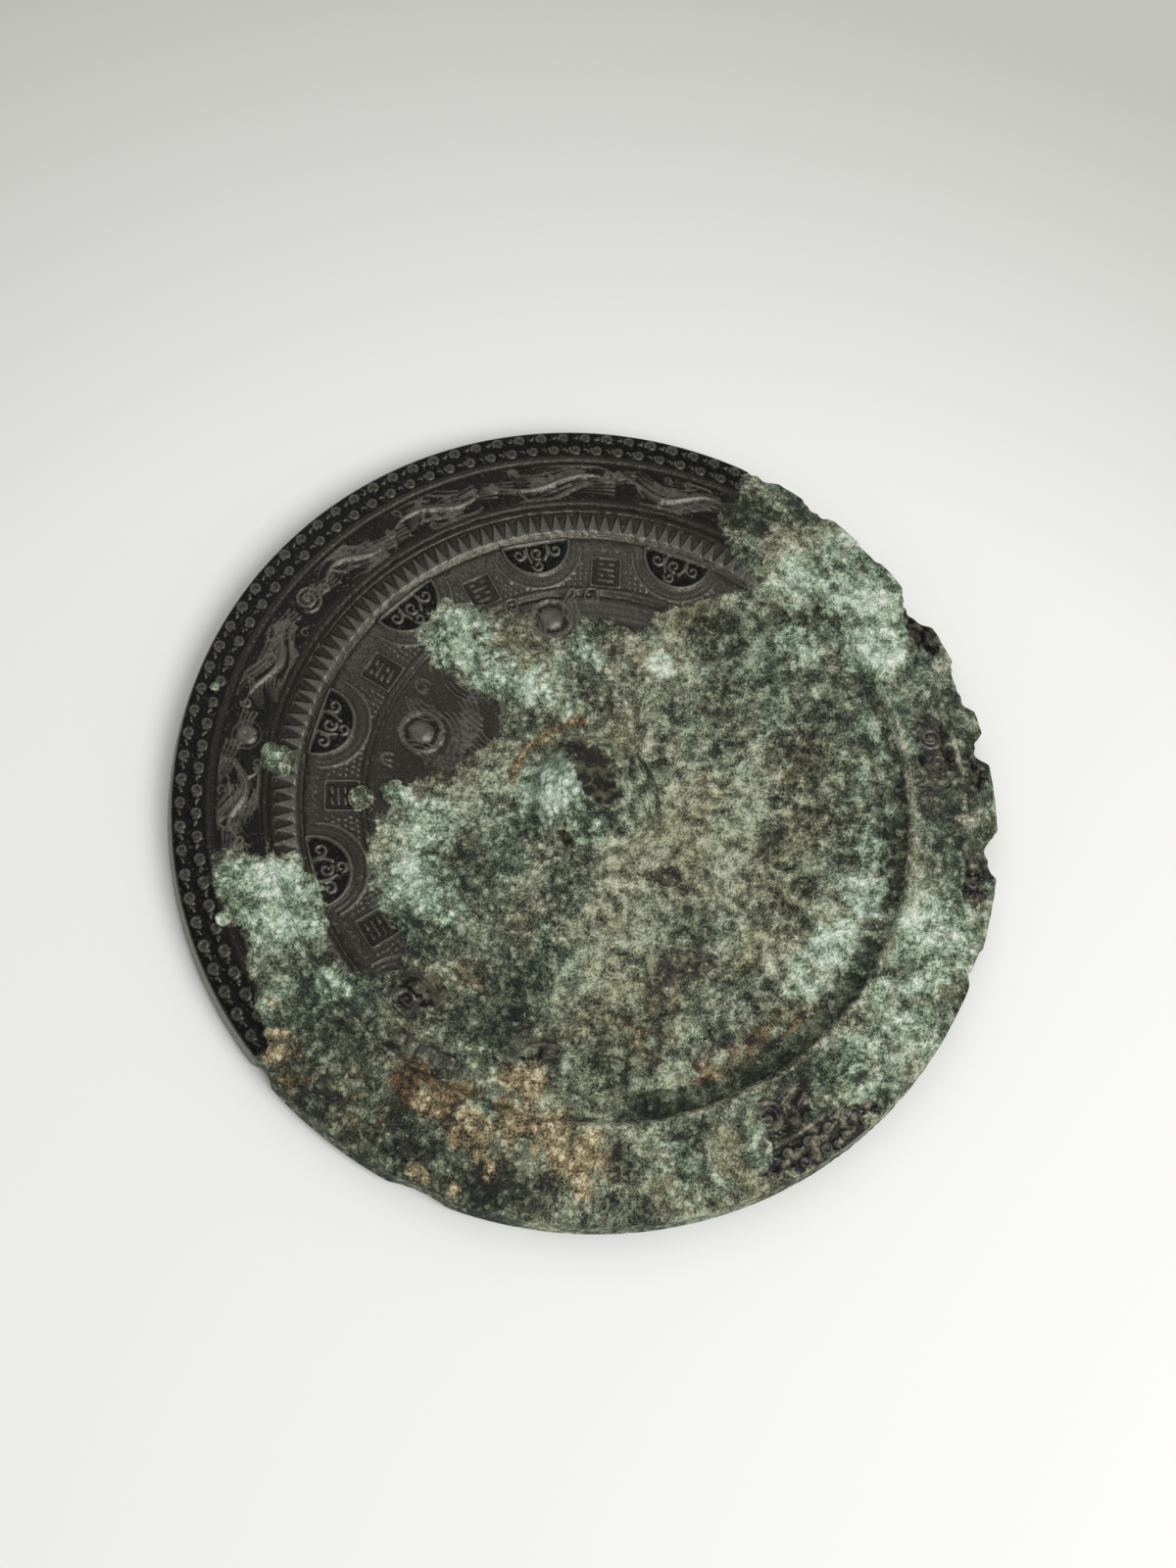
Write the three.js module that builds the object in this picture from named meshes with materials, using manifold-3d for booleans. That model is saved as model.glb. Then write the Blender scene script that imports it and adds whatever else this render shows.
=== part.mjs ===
// An ancient cast-bronze mirror, lying on its reflecting face with the decorated back up.
// Millimetres, +Z up. The origin is the centre of the small flat that the convex face rests on.
// The casting is one solid: disc, bevelled rim, picture band, saw-tooth band, band of half-moons
// and squares, field with ring nipples, and a pierced knob. Corrosion lumps and the worn rim stay.
import * as THREE from 'three';
import { mergeVertices } from 'three/addons/utils/BufferGeometryUtils.js';
import Module from 'manifold-3d';

const wasm = await Module();
wasm.setup();

// Disc and rim
const faceDiameter = 137;
const faceSag = 2.0;
const restSpotRadius = 14;
const rimFlare = 1.0;
const rimEdgeThickness = 3.8;
const bevelWidth = 5.2;
const bevelRise = 0.5;
const rimLineWidth = 1.0;
const rimLineHeight = 0.35;
const pictureBandWidth = 7.8;
const pictureBandSink = 0.35;
const bandLineWidth = 0.8;

// Bands inside the rim
const stepDrop = 2.0;
const stepSlope = 0.5;
const toothBandWidth = 4.2;
const toothBandFall = 0.5;
const bandGrooveWidth = 0.7;
const bandGrooveDepth = 0.35;
const moonBandWidth = 9.2;
const moonBandFall = 0.2;
const fieldLineWidth = 0.8;
const fieldLineHeight = 0.3;
const fieldDrop = 0.7;

// Knob and the cord hole at its foot
const knobRadius = 10.4;
const knobHeight = 6.4;
const knobCollarRadius = 13.8;
const knobCollarWidth = 1.1;
const knobCollarHeight = 0.5;
const cordHoleDiameter = 3.6;
const cordHoleFloor = 0.5;
const cordHoleTurn = 54;

// Ornaments, with angles in degrees anticlockwise from +X
const toothSpacing = 2.45;
const toothSpan = [63, 176];
const toothHeight = 0.35;
const moonAngles = [72, 103, 134, 166, 197.5, 229, 260, 296, 330, 4, 38];
const clearMoons = 5;
const clearSeals = 5;
const moonRadius = 6.2;
const moonFrame = 0.8;
const moonHeight = 0.6;
const curlRadius = 1.15;
const curlWidth = 0.6;
const curlHeight = 0.4;
const archGap = 1.7;
const archWidth = 0.6;
const archHeight = 0.3;
const sealWidth = 5.2;
const sealLength = 5.6;
const sealFrame = 0.7;
const sealHeight = 0.55;
const sealStrokes = 2;
const sealStrokeWidth = 0.5;
const nippleCount = 6;
const nippleStart = 103;
const nipplePitchRadius = 31;
const nippleRadius = 2.1;
const nippleHeight = 1.5;
const nippleRingGap = 1.2;
const nippleRingWidth = 0.7;
const nippleRingHeight = 0.6;
const discRadius = 2.4;
const ribbonWidth = 1.5;
const ribbonSwing = 1.5;
const reliefHeight = 0.4;

// Sunk depth that joins an ornament to the surface below it
const rooting = 0.5;
const discSides = 64;

const faceRadius = faceDiameter / 2;
const rimRadius = faceRadius - rimFlare;
const rimEdgeZ = faceSag + rimEdgeThickness;
const rimLineOuter = rimRadius - bevelWidth;
const rimLineInner = rimLineOuter - rimLineWidth;
const bevelTopZ = rimEdgeZ + bevelRise;
const rimLineZ = bevelTopZ + rimLineHeight;
const pictureZ = rimLineZ - pictureBandSink;
const pictureInner = rimLineInner - pictureBandWidth;
const stepTop = pictureInner - bandLineWidth;
const stepFoot = stepTop - stepSlope;
const toothTopZ = rimLineZ - stepDrop;
const toothInner = stepFoot - toothBandWidth;
const toothFootZ = toothTopZ - toothBandFall;
const moonOuter = toothInner - bandGrooveWidth;
const moonOuterZ = toothFootZ;
const moonInner = moonOuter - moonBandWidth;
const moonInnerZ = moonOuterZ - moonBandFall;
const fieldOuter = moonInner - fieldLineWidth;
const fieldZ = moonInnerZ - fieldDrop;

const radians = THREE.MathUtils.degToRad;

// A three.js geometry as a solid for joining and cutting
function solidOf(geometry) {
  const plain = new THREE.BufferGeometry();
  plain.setAttribute('position', geometry.getAttribute('position').clone());
  if (geometry.index) plain.setIndex(geometry.index.clone());
  const merged = mergeVertices(plain, 1e-4);
  const points = merged.getAttribute('position').array;
  const corners = merged.index.array;
  const kept = [];
  let volume = 0;
  for (let i = 0; i < corners.length; i += 3) {
    const [a, b, c] = [corners[i], corners[i + 1], corners[i + 2]];
    if (a === b || b === c || c === a) continue;
    kept.push(a, b, c);
    const [p, q, r] = [a, b, c].map((k) => new THREE.Vector3().fromArray(points, 3 * k));
    volume += p.dot(q.cross(r)) / 6;
  }
  if (volume < 0) kept.reverse();
  return new wasm.Manifold(new wasm.Mesh({
    numProp: 3,
    vertProperties: Float32Array.from(points),
    triVerts: Uint32Array.from(kept),
  }));
}

function turned(profile, sides) {
  const geometry = new THREE.LatheGeometry(profile.map(([r, z]) => new THREE.Vector2(r, z)), sides);
  return solidOf(geometry.rotateX(Math.PI / 2));
}

// A flat shape drawn in a patch's own frame: +X outwards along the radius, raised above the surface
function stamped(shape, radius, angle, surfaceZ, height, curveSteps = 4) {
  const geometry = new THREE.ExtrudeGeometry(shape, {
    depth: height + rooting,
    bevelEnabled: false,
    curveSegments: curveSteps,
  });
  geometry.translate(radius, 0, surfaceZ - rooting);
  return solidOf(geometry.rotateZ(radians(angle)));
}

function polygon(points) {
  return new THREE.Shape(points.map(([x, y]) => new THREE.Vector2(x, y)));
}

// Height of the face above the rest spot: a shallow bowl outside the flat
function faceZ(radius) {
  const share = Math.max(0, radius - restSpotRadius) / (faceRadius - restSpotRadius);
  return faceSag * share ** 2;
}

function disc() {
  const faceSteps = 3;
  const profile = [[0, 0]];
  for (let i = 0; i <= faceSteps; i++) {
    const radius = restSpotRadius + (faceRadius - restSpotRadius) * i / faceSteps;
    profile.push([radius, faceZ(radius)]);
  }
  profile.push(
    [rimRadius, rimEdgeZ],
    [rimLineOuter, bevelTopZ],
    [rimLineOuter, rimLineZ],
    [rimLineInner, rimLineZ],
    [rimLineInner, pictureZ],
    [pictureInner, pictureZ],
    [pictureInner, rimLineZ],
    [stepTop, rimLineZ],
    [stepFoot, toothTopZ],
    [toothInner, toothFootZ],
    [toothInner, toothFootZ - bandGrooveDepth],
    [moonOuter, moonOuterZ - bandGrooveDepth],
    [moonOuter, moonOuterZ],
    [moonInner, moonInnerZ],
    [moonInner, moonInnerZ + fieldLineHeight],
    [fieldOuter, moonInnerZ + fieldLineHeight],
    [fieldOuter, fieldZ],
    [0, fieldZ],
  );
  return turned(profile, discSides);
}

// Worn outline: shallow bites out of the right side of the rim, as [angle, half width, depth]
const rimBites = [
  [353, 4, 2.2], [9, 2.6, 2.4], [19, 4.5, 2.0], [33, 4, 2.6], [44, 3, 1.1], [54, 3, 1.3],
  [64, 4, 0.9], [222, 2, 0.8], [247, 4, 0.7], [336, 4, 1.0],
];
const outlineStep = 3;
const outlineSlack = 0.4;

function biteDepth(angle) {
  let depth = 0;
  for (const [centre, halfWidth, most] of rimBites) {
    const away = Math.abs(((angle - centre + 540) % 360) - 180) / halfWidth;
    if (away < 1) depth = Math.max(depth, most * (1 - away ** 2));
  }
  return depth;
}

function wornOutline() {
  const outline = [];
  for (let angle = 0; angle < 360; angle += outlineStep) {
    const bite = biteDepth(angle);
    const radius = faceRadius + (bite > 0 ? -bite : outlineSlack);
    outline.push([radius * Math.cos(radians(angle)), radius * Math.sin(radians(angle))]);
  }
  const depth = rimLineZ + knobHeight;
  const geometry = new THREE.ExtrudeGeometry(polygon(outline), { depth, bevelEnabled: false });
  return solidOf(geometry.translate(0, 0, -1));
}

// Raised points of the saw-tooth band: the base is at the inner edge and the tip points outwards
function teeth() {
  const length = toothBandWidth * 0.72;
  const halfBase = radians(toothSpacing) * toothInner / 2 * 0.92;
  const fall = Math.atan2(toothBandFall, toothBandWidth);
  const tooth = polygon([[0, -halfBase], [length, 0], [0, halfBase]]);
  const made = [];
  for (let angle = toothSpan[0]; angle <= toothSpan[1]; angle += toothSpacing) {
    const geometry = new THREE.ExtrudeGeometry(tooth, { depth: toothHeight + rooting, bevelEnabled: false });
    geometry.rotateY(-fall);
    geometry.translate(toothInner + bandLineWidth, 0, toothFootZ + toothBandFall * 0.2 - rooting);
    made.push(solidOf(geometry.rotateZ(radians(angle))));
  }
  return made;
}

// A half disc bulging towards the centre, with its flat side `inset` inside x = 0
function halfMoonShape(radius, inset = 0) {
  const shape = new THREE.Shape();
  const lean = Math.asin(inset / radius);
  shape.absarc(0, 0, radius, Math.PI / 2 + lean, Math.PI * 1.5 - lean, false);
  return shape;
}

// A half ring, open on its outer side
function archShape(radius, width) {
  const shape = new THREE.Shape();
  shape.absarc(0, 0, radius + width, Math.PI / 2, Math.PI * 1.5, false);
  shape.absarc(0, 0, radius, Math.PI * 1.5, Math.PI / 2, true);
  return shape;
}

// A C-shaped curl, opening towards `turn`
function curlShape(x, y, turn) {
  const shape = new THREE.Shape();
  const start = turn + 0.7;
  const end = turn + Math.PI * 2 - 0.7;
  shape.absarc(x, y, curlRadius, start, end, false);
  shape.absarc(x, y, curlRadius - curlWidth, end, start, true);
  return shape;
}

// Half-moon blocks with their flat side outwards, each inside a wider arch line
function halfMoons() {
  const made = [];
  moonAngles.forEach((angle, index) => {
    const frame = halfMoonShape(moonRadius);
    frame.holes.push(halfMoonShape(moonRadius - moonFrame, moonFrame));
    made.push(stamped(frame, moonOuter - 0.1, angle, moonOuterZ, moonHeight, index < clearMoons ? 4 : 3));
    if (index >= clearMoons) return;
    const reach = moonRadius * 0.5;
    const curls = [[-reach * 0.5, -reach, 0.6], [-reach * 1.1, 0, 1.9], [-reach * 0.5, reach, 5.7]];
    for (const [x, y, turn] of curls) {
      made.push(stamped(curlShape(x, y, turn), moonOuter, angle, moonOuterZ, curlHeight, 2));
    }
    const arch = archShape(moonRadius + archGap, archWidth);
    made.push(stamped(arch, moonOuter - 0.6, angle, moonInnerZ, archHeight + moonBandFall));
  });
  return made;
}

// Square blocks between the half-moons: a frame round rows of plain strokes
function seals() {
  const made = [];
  moonAngles.forEach((angle, index) => {
    const step = (moonAngles[(index + 1) % moonAngles.length] - angle + 360) % 360;
    const middle = angle + step / 2;
    const box = (width, length) => polygon([
      [-length / 2, -width / 2], [length / 2, -width / 2], [length / 2, width / 2], [-length / 2, width / 2],
    ]);
    const frame = box(sealWidth, sealLength);
    frame.holes.push(box(sealWidth - 2 * sealFrame, sealLength - 2 * sealFrame));
    const centre = moonInner + fieldLineWidth + sealLength / 2;
    made.push(stamped(frame, centre, middle, moonInnerZ, sealHeight));
    if (index >= clearSeals) return;
    const pitch = (sealLength - 2 * sealFrame) / (sealStrokes + 0.5);
    for (let row = 0; row < sealStrokes; row++) {
      const offset = (row - (sealStrokes - 1) / 2) * pitch;
      const stroke = box(sealWidth - 3 * sealFrame, sealStrokeWidth);
      made.push(stamped(stroke, centre + offset, middle, moonInnerZ, sealHeight));
    }
  });
  return made;
}

function ringNipples() {
  const made = [];
  const ringInner = nippleRadius + nippleRingGap;
  const ringOuter = ringInner + nippleRingWidth;
  for (let i = 0; i < nippleCount; i++) {
    const angle = radians(nippleStart + 360 * i / nippleCount);
    const place = [nipplePitchRadius * Math.cos(angle), nipplePitchRadius * Math.sin(angle), fieldZ];
    const bump = turned([
      [0, -rooting], [nippleRadius, -rooting], [nippleRadius, 0], [nippleRadius * 0.7, nippleHeight * 0.75],
      [0, nippleHeight],
    ], 8);
    const ring = turned([
      [ringInner, -rooting], [ringOuter, -rooting], [ringOuter, nippleRingHeight * 0.6],
      [ringInner, nippleRingHeight], [ringInner, -rooting],
    ], 12);
    made.push(bump.translate(place), ring.translate(place));
  }
  return made;
}

// A long winding beast's body along a band, from one angle to another, tapering at both ends
function ribbon(midRadius, surfaceZ, from, to, waves, width) {
  const steps = Math.round((to - from) / 2.4);
  const edge = (side) => {
    const points = [];
    for (let i = 0; i <= steps; i++) {
      const share = i / steps;
      const angle = radians(from + (to - from) * share);
      const swing = ribbonSwing * Math.sin(share * waves * 2 * Math.PI);
      const half = width / 2 * Math.sin(Math.PI * Math.min(1, Math.max(0.12, share * 0.9 + 0.05)));
      const radius = midRadius + swing + side * half;
      points.push([radius * Math.cos(angle), radius * Math.sin(angle)]);
    }
    return points;
  };
  const outline = [...edge(1), ...edge(-1).reverse()];
  const depth = reliefHeight + rooting;
  const geometry = new THREE.ExtrudeGeometry(polygon(outline), { depth, bevelEnabled: false });
  return solidOf(geometry.translate(0, 0, surfaceZ - rooting));
}

// Picture band: winding beasts, a sun disc and a spiral boss in low relief
function pictures() {
  const middle = (rimLineInner + pictureInner) / 2;
  const round = (radius, angle, size, sides) => {
    const disk = turned([[0, -rooting], [size, -rooting], [size, reliefHeight], [0, reliefHeight]], sides);
    const at = radians(angle);
    return disk.translate([radius * Math.cos(at), radius * Math.sin(at), pictureZ]);
  };
  return [
    ribbon(middle, pictureZ, 74, 104, 1.5, ribbonWidth),
    ribbon(middle, pictureZ, 108, 142, 2, ribbonWidth),
    ribbon(middle, pictureZ, 152, 168, 1, ribbonWidth),
    ribbon(middle, pictureZ, 178, 196, 1, ribbonWidth),
    ribbon(middle, pictureZ, 228, 268, 2, ribbonWidth),
    ribbon(middle, pictureZ, 352, 374, 1, ribbonWidth),
    round(middle, 172.5, discRadius, 14),
    round(middle, 146.5, discRadius, 14),
    round(middle, 297, discRadius, 12),
  ];
}

function knob() {
  const domeSteps = 5;
  const profile = [[0, fieldZ - rooting], [knobRadius, fieldZ - rooting], [knobRadius, fieldZ + 0.4]];
  for (let i = 1; i <= domeSteps; i++) {
    const lift = Math.PI / 2 * i / domeSteps;
    profile.push([knobRadius * Math.cos(lift), fieldZ + 0.4 + (knobHeight - 0.4) * Math.sin(lift)]);
  }
  profile[profile.length - 1][0] = 0;
  const collarInner = knobCollarRadius - knobCollarWidth;
  const collar = turned([
    [collarInner, fieldZ - rooting], [knobCollarRadius, fieldZ - rooting],
    [knobCollarRadius, fieldZ + knobCollarHeight * 0.5], [collarInner, fieldZ + knobCollarHeight],
    [collarInner, fieldZ - rooting],
  ], 30);
  return [turned(profile, 26), collar];
}

function cordHole() {
  const radius = cordHoleDiameter / 2;
  const bar = new THREE.CylinderGeometry(radius, radius, knobRadius * 2.1, 12);
  bar.rotateZ(Math.PI / 2).translate(0, 0, fieldZ + cordHoleFloor + radius);
  return solidOf(bar.rotateZ(radians(cordHoleTurn)));
}

// Lumps of corrosion that stand up from the back, as [x, y, radius, height above the surface, surface z].
// Each goes down to one level, so that a lump over the step also fills the step.
const lumpFootZ = 2.75;
const lumps = [
  [-51.2, 4.2, 2.9, 1.2, toothTopZ], [-38, -1.6, 2.2, 0.9, moonInnerZ], [-51, -19, 6.6, 1.0, pictureZ],
  [-58.3, -17, 3.2, 0.9, pictureZ], [-57.6, -22.6, 1.2, 0.7, pictureZ], [-50.2, -35.6, 2.0, 0.9, pictureZ],
  [-25.4, -50.6, 2.0, 0.8, pictureZ], [-27.2, -59.6, 1.6, 0.7, bevelTopZ], [-21.8, -61.8, 1.4, 0.6, bevelTopZ],
  [-14.5, -53.5, 4.2, 0.8, pictureZ], [-4.6, -54.6, 3.6, 0.8, pictureZ], [41, 39, 9.5, 0.8, pictureZ],
  [52, -29, 6.5, 0.7, pictureZ], [-30, -15.5, 5, 1.0, fieldZ], [-21, 27, 6.5, 0.9, fieldZ],
];

function corrosionLumps() {
  return lumps.map(([x, y, radius, height, surfaceZ]) => {
    const profile = [[0, lumpFootZ], [radius, lumpFootZ], [radius * 0.95, surfaceZ], [radius * 0.6, surfaceZ + height * 0.8],
      [0, surfaceZ + height]];
    return turned(profile, radius > 4 ? 11 : 7).translate([x, y, 0]);
  });
}

function bronzeMirror() {
  const raised = wasm.Manifold.union([
    disc(), ...teeth(), ...halfMoons(), ...seals(), ...ringNipples(), ...pictures(), ...knob(), ...corrosionLumps(),
  ]);
  const worn = raised.intersect(wornOutline()).subtract(cordHole()).getMesh();
  const geometry = new THREE.BufferGeometry();
  geometry.setAttribute('position', new THREE.BufferAttribute(worn.vertProperties, 3));
  geometry.setIndex(new THREE.BufferAttribute(worn.triVerts, 1));
  return geometry;
}

const bronze = new THREE.MeshStandardMaterial({ color: 0x4a5146, roughness: 0.62, metalness: 0.35 });
const mirror = new THREE.Mesh(bronzeMirror(), bronze);
mirror.name = 'bronze_mirror';

const object = new THREE.Group();
object.add(mirror);
export default object;
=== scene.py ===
# An ancient bronze mirror, lying on its polished face with the decorated back up.
# Sizes are in millimetres and angles in degrees anticlockwise from +X, unless a note says otherwise.
import math

import bmesh
import bpy
import numpy as np
from mathutils import Matrix, Vector


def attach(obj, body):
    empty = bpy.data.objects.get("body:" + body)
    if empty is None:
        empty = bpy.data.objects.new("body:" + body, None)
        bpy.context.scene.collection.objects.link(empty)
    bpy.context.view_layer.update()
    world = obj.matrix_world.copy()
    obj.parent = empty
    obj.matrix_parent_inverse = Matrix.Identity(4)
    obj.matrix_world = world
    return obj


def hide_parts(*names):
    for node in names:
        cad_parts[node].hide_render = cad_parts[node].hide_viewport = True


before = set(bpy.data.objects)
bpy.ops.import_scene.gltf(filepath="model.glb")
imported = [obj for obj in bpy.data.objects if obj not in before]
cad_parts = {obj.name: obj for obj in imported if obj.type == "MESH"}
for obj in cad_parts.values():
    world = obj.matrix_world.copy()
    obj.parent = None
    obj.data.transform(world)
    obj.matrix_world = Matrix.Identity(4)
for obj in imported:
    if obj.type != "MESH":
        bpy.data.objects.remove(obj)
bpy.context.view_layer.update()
mm = 0.001
scene = bpy.context.scene
rng = np.random.default_rng(17)


# Small helpers
def linearColour(hexText):  # sRGB hex to linear
    parts = [int(hexText[i:i + 2], 16) / 255 for i in (1, 3, 5)]
    return [c / 12.92 if c <= 0.04045 else ((c + 0.055) / 1.055) ** 2.4 for c in parts] + [1.0]


def addNode(tree, kind, settings=None, inputs=None):
    node = tree.nodes.new(kind)
    for name, value in (settings or {}).items():
        setattr(node, name, value)
    for socket, value in (inputs or {}).items():
        if isinstance(value, bpy.types.NodeSocket):
            tree.links.new(value, node.inputs[socket])
        else:
            node.inputs[socket].default_value = value
    return node


def newShapeTree(name, sockets):
    tree = bpy.data.node_groups.new(name, "GeometryNodeTree")
    tree.interface.new_socket("Geometry", in_out="INPUT", socket_type="NodeSocketGeometry")
    for label, kind, value in sockets:
        socket = tree.interface.new_socket(label, in_out="INPUT", socket_type="NodeSocket" + kind)
        if value is not None:
            socket.default_value = value
    tree.interface.new_socket("Geometry", in_out="OUTPUT", socket_type="NodeSocketGeometry")
    return tree, addNode(tree, "NodeGroupInput").outputs


def endShapeTree(tree, geometry, material):
    solid = addNode(tree, "GeometryNodeRealizeInstances", inputs={"Geometry": geometry}).outputs[0]
    painted = addNode(tree, "GeometryNodeSetMaterial", inputs={
        "Geometry": solid, "Material": material,
    }).outputs[0]
    addNode(tree, "NodeGroupOutput", inputs={"Geometry": painted})


def meshThrough(obj, tree, values, name):  # runs a tree on obj and keeps the result as a plain mesh
    step = obj.modifiers.new(tree.name, "NODES")
    step.node_group = tree
    sockets = {s.name: s.identifier for s in tree.interface.items_tree if s.in_out == "INPUT"}
    for label, value in values.items():
        step[sockets[label]] = value
    seen = obj.evaluated_get(bpy.context.evaluated_depsgraph_get())
    made = bpy.data.objects.new(name, bpy.data.meshes.new_from_object(seen))
    scene.collection.objects.link(made)
    obj.modifiers.remove(step)
    return made


def smoothStep(low, high, value):
    share = np.clip((value - low) / (high - low), 0, 1)
    return share * share * (3 - 2 * share)


# The casting's form: the same sizes as the CAD solid
castForm = {
    "faceRadius": 68.5,
    "faceSag": 2.0,
    "restSpotRadius": 14.0,
    "rimRadius": 67.5,
    "rimEdgeZ": 5.8,
    "bevelTopZ": 6.3,
    "rimLineOuter": 62.3,
    "rimLineInner": 61.3,
    "rimLineZ": 6.65,
    "pictureZ": 6.3,
    "pictureInner": 53.5,
    "stepTop": 52.7,
    "stepFoot": 52.2,
    "toothTopZ": 4.65,
    "toothInner": 48.0,
    "toothFootZ": 4.15,
    "grooveDepth": 0.35,
    "moonOuter": 47.3,
    "moonInner": 38.1,
    "moonInnerZ": 3.95,
    "fieldOuter": 37.3,
    "fieldLine": 0.3,
    "fieldZ": 3.25,
    "knobRadius": 10.4,
    "knobHeight": 6.4,
    "collarRadius": 13.3,
    "collarWidth": 1.1,
    "fineStep": 0.17,       # degrees between columns where the metal is bare, before the mesh is thinned
    "coarseStep": 0.42,     # and where the crust hides it
    "fineSectors": [[60, 223], [286, 312], [345, 375]],
    "fieldStep": 0.5,       # row spacing in the field
    "bandStep": 0.21,       # row spacing in the decorated bands
    "bevelStep": 0.16,      # and on the bevelled rim
    "trianglesKept": 188000,
}

# Edge of the disc: [middle angle, half width, depth] of each bite, as in the CAD solid
rimBites = [
    [353, 4, 2.2], [9, 2.6, 2.4], [19, 4.5, 2.0], [33, 4, 2.6], [44, 3, 1.1], [54, 3, 1.3],
    [64, 4, 0.9], [222, 2, 0.8], [247, 4, 0.7], [336, 4, 1.0],
]

# Middle angle of each half-moon
moonAngles = [72, 103, 134, 166, 197.5, 229, 260, 296, 330, 4, 38]


# Strokes: every raised line is a tube along a path of (x, y, half width), pressed flat
strokeTree, given = newShapeTree("raisedStrokes", [
    ("Flatness", "Float", 0.9), ("Sides", "Int", 8), ("Material", "Material", None),
])
roundSection = addNode(strokeTree, "GeometryNodeCurvePrimitiveCircle", inputs={
    "Resolution": given["Sides"], "Radius": 1.0,
})
tube = addNode(strokeTree, "GeometryNodeCurveToMesh", inputs={
    "Curve": given["Geometry"], "Profile Curve": roundSection.outputs[0],
    "Scale": addNode(strokeTree, "GeometryNodeInputRadius").outputs[0], "Fill Caps": True,
})
squash = addNode(strokeTree, "ShaderNodeCombineXYZ", inputs={"X": 1.0, "Y": 1.0, "Z": given["Flatness"]})
pressed = addNode(strokeTree, "GeometryNodeTransform", inputs={
    "Geometry": tube.outputs[0], "Scale": squash.outputs[0],
})
endShapeTree(strokeTree, pressed.outputs[0], given["Material"])

# Repeats: a motif is set on every point of a ring, turned to face outwards
repeatTree, given = newShapeTree("motifsRoundRing", [
    ("Motif", "Object", None), ("Wobble", "Float", 0.03), ("Seed", "Int", 5), ("Material", "Material", None),
])
motifShape = addNode(repeatTree, "GeometryNodeObjectInfo", inputs={
    "Object": given["Motif"],
}).outputs["Geometry"]
turnValue = addNode(repeatTree, "GeometryNodeInputNamedAttribute", {"data_type": "FLOAT"}, {
    "Name": "turn",
}).outputs[0]
lessWobble = addNode(repeatTree, "ShaderNodeMath", {"operation": "MULTIPLY"}, {
    0: given["Wobble"], 1: -1.0,
}).outputs[0]
shake = addNode(repeatTree, "FunctionNodeRandomValue", {"data_type": "FLOAT"}, {
    2: lessWobble, 3: given["Wobble"], "Seed": given["Seed"],
}).outputs[1]
turned = addNode(repeatTree, "ShaderNodeMath", {"operation": "ADD"}, {0: turnValue, 1: shake}).outputs[0]
size = addNode(repeatTree, "ShaderNodeMath", {"operation": "ADD"}, {0: shake, 1: 1.0}).outputs[0]
placed = addNode(repeatTree, "GeometryNodeInstanceOnPoints", inputs={
    "Points": given["Geometry"], "Instance": motifShape,
    "Rotation": addNode(repeatTree, "ShaderNodeCombineXYZ", inputs={"Z": turned}).outputs[0],
    "Scale": size,
})
endShapeTree(repeatTree, placed.outputs[0], given["Material"])


def strokeMesh(strokes, name, flatness=0.9, sides=8):
    curve = bpy.data.curves.new(name + "Path", "CURVE")
    curve.dimensions = "3D"
    for path in strokes:
        line = curve.splines.new("POLY")
        line.points.add(len(path) - 1)
        for point, (x, y, half) in zip(line.points, path):
            point.co = (x * mm, y * mm, 0, 1)
            point.radius = half * mm
    pathObject = bpy.data.objects.new(name + "Path", curve)
    scene.collection.objects.link(pathObject)
    made = meshThrough(pathObject, strokeTree, {"Flatness": flatness, "Sides": sides}, name)
    bpy.data.objects.remove(pathObject)
    return made


def repeated(motif, places, name, wobble=0.0, seed=1):  # places: [radius, angle] each
    angles = np.radians([angle for radius, angle in places])
    radii = np.array([radius for radius, angle in places]) * mm
    points = np.stack([radii * np.cos(angles), radii * np.sin(angles), 0 * radii], 1)
    mesh = bpy.data.meshes.new(name + "Places")
    mesh.from_pydata(points.tolist(), [], [])
    mesh.attributes.new("turn", "FLOAT", "POINT").data.foreach_set("value", angles.astype(np.float32))
    placesObject = bpy.data.objects.new(name + "Places", mesh)
    scene.collection.objects.link(placesObject)
    made = meshThrough(placesObject, repeatTree, {"Motif": motif, "Wobble": wobble, "Seed": seed}, name)
    bpy.data.objects.remove(placesObject)
    bpy.data.objects.remove(motif)
    return made


def spiral(x, y, outer, inner, start, turns, half, steps=16):
    path = []
    for i in range(steps + 1):
        share = i / steps
        angle = start + turns * 2 * math.pi * share
        radius = outer + (inner - outer) * share
        path.append((x + radius * math.cos(angle), y + radius * math.sin(angle), half * (1 - 0.25 * share)))
    return path


def arc(x, y, radius, start, end, half, steps=12):
    angles = np.linspace(start, end, steps + 1)
    return [(x + radius * math.cos(a), y + radius * math.sin(a), half) for a in angles]


def flatPrism(corners, top, height):  # a solid with a base outline and a smaller top, from z = 0 up
    count = len(corners)
    points = [(x * mm, y * mm, -0.2 * mm) for x, y in corners]
    points += [(x * mm, y * mm, height * mm) for x, y in top]
    faces = [tuple(reversed(range(count))), tuple(range(count, 2 * count))]
    faces += [(i, (i + 1) % count, count + (i + 1) % count, count + i) for i in range(count)]
    mesh = bpy.data.meshes.new("prism")
    mesh.from_pydata(points, [], faces)
    made = bpy.data.objects.new("prism", mesh)
    scene.collection.objects.link(made)
    return made


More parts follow.
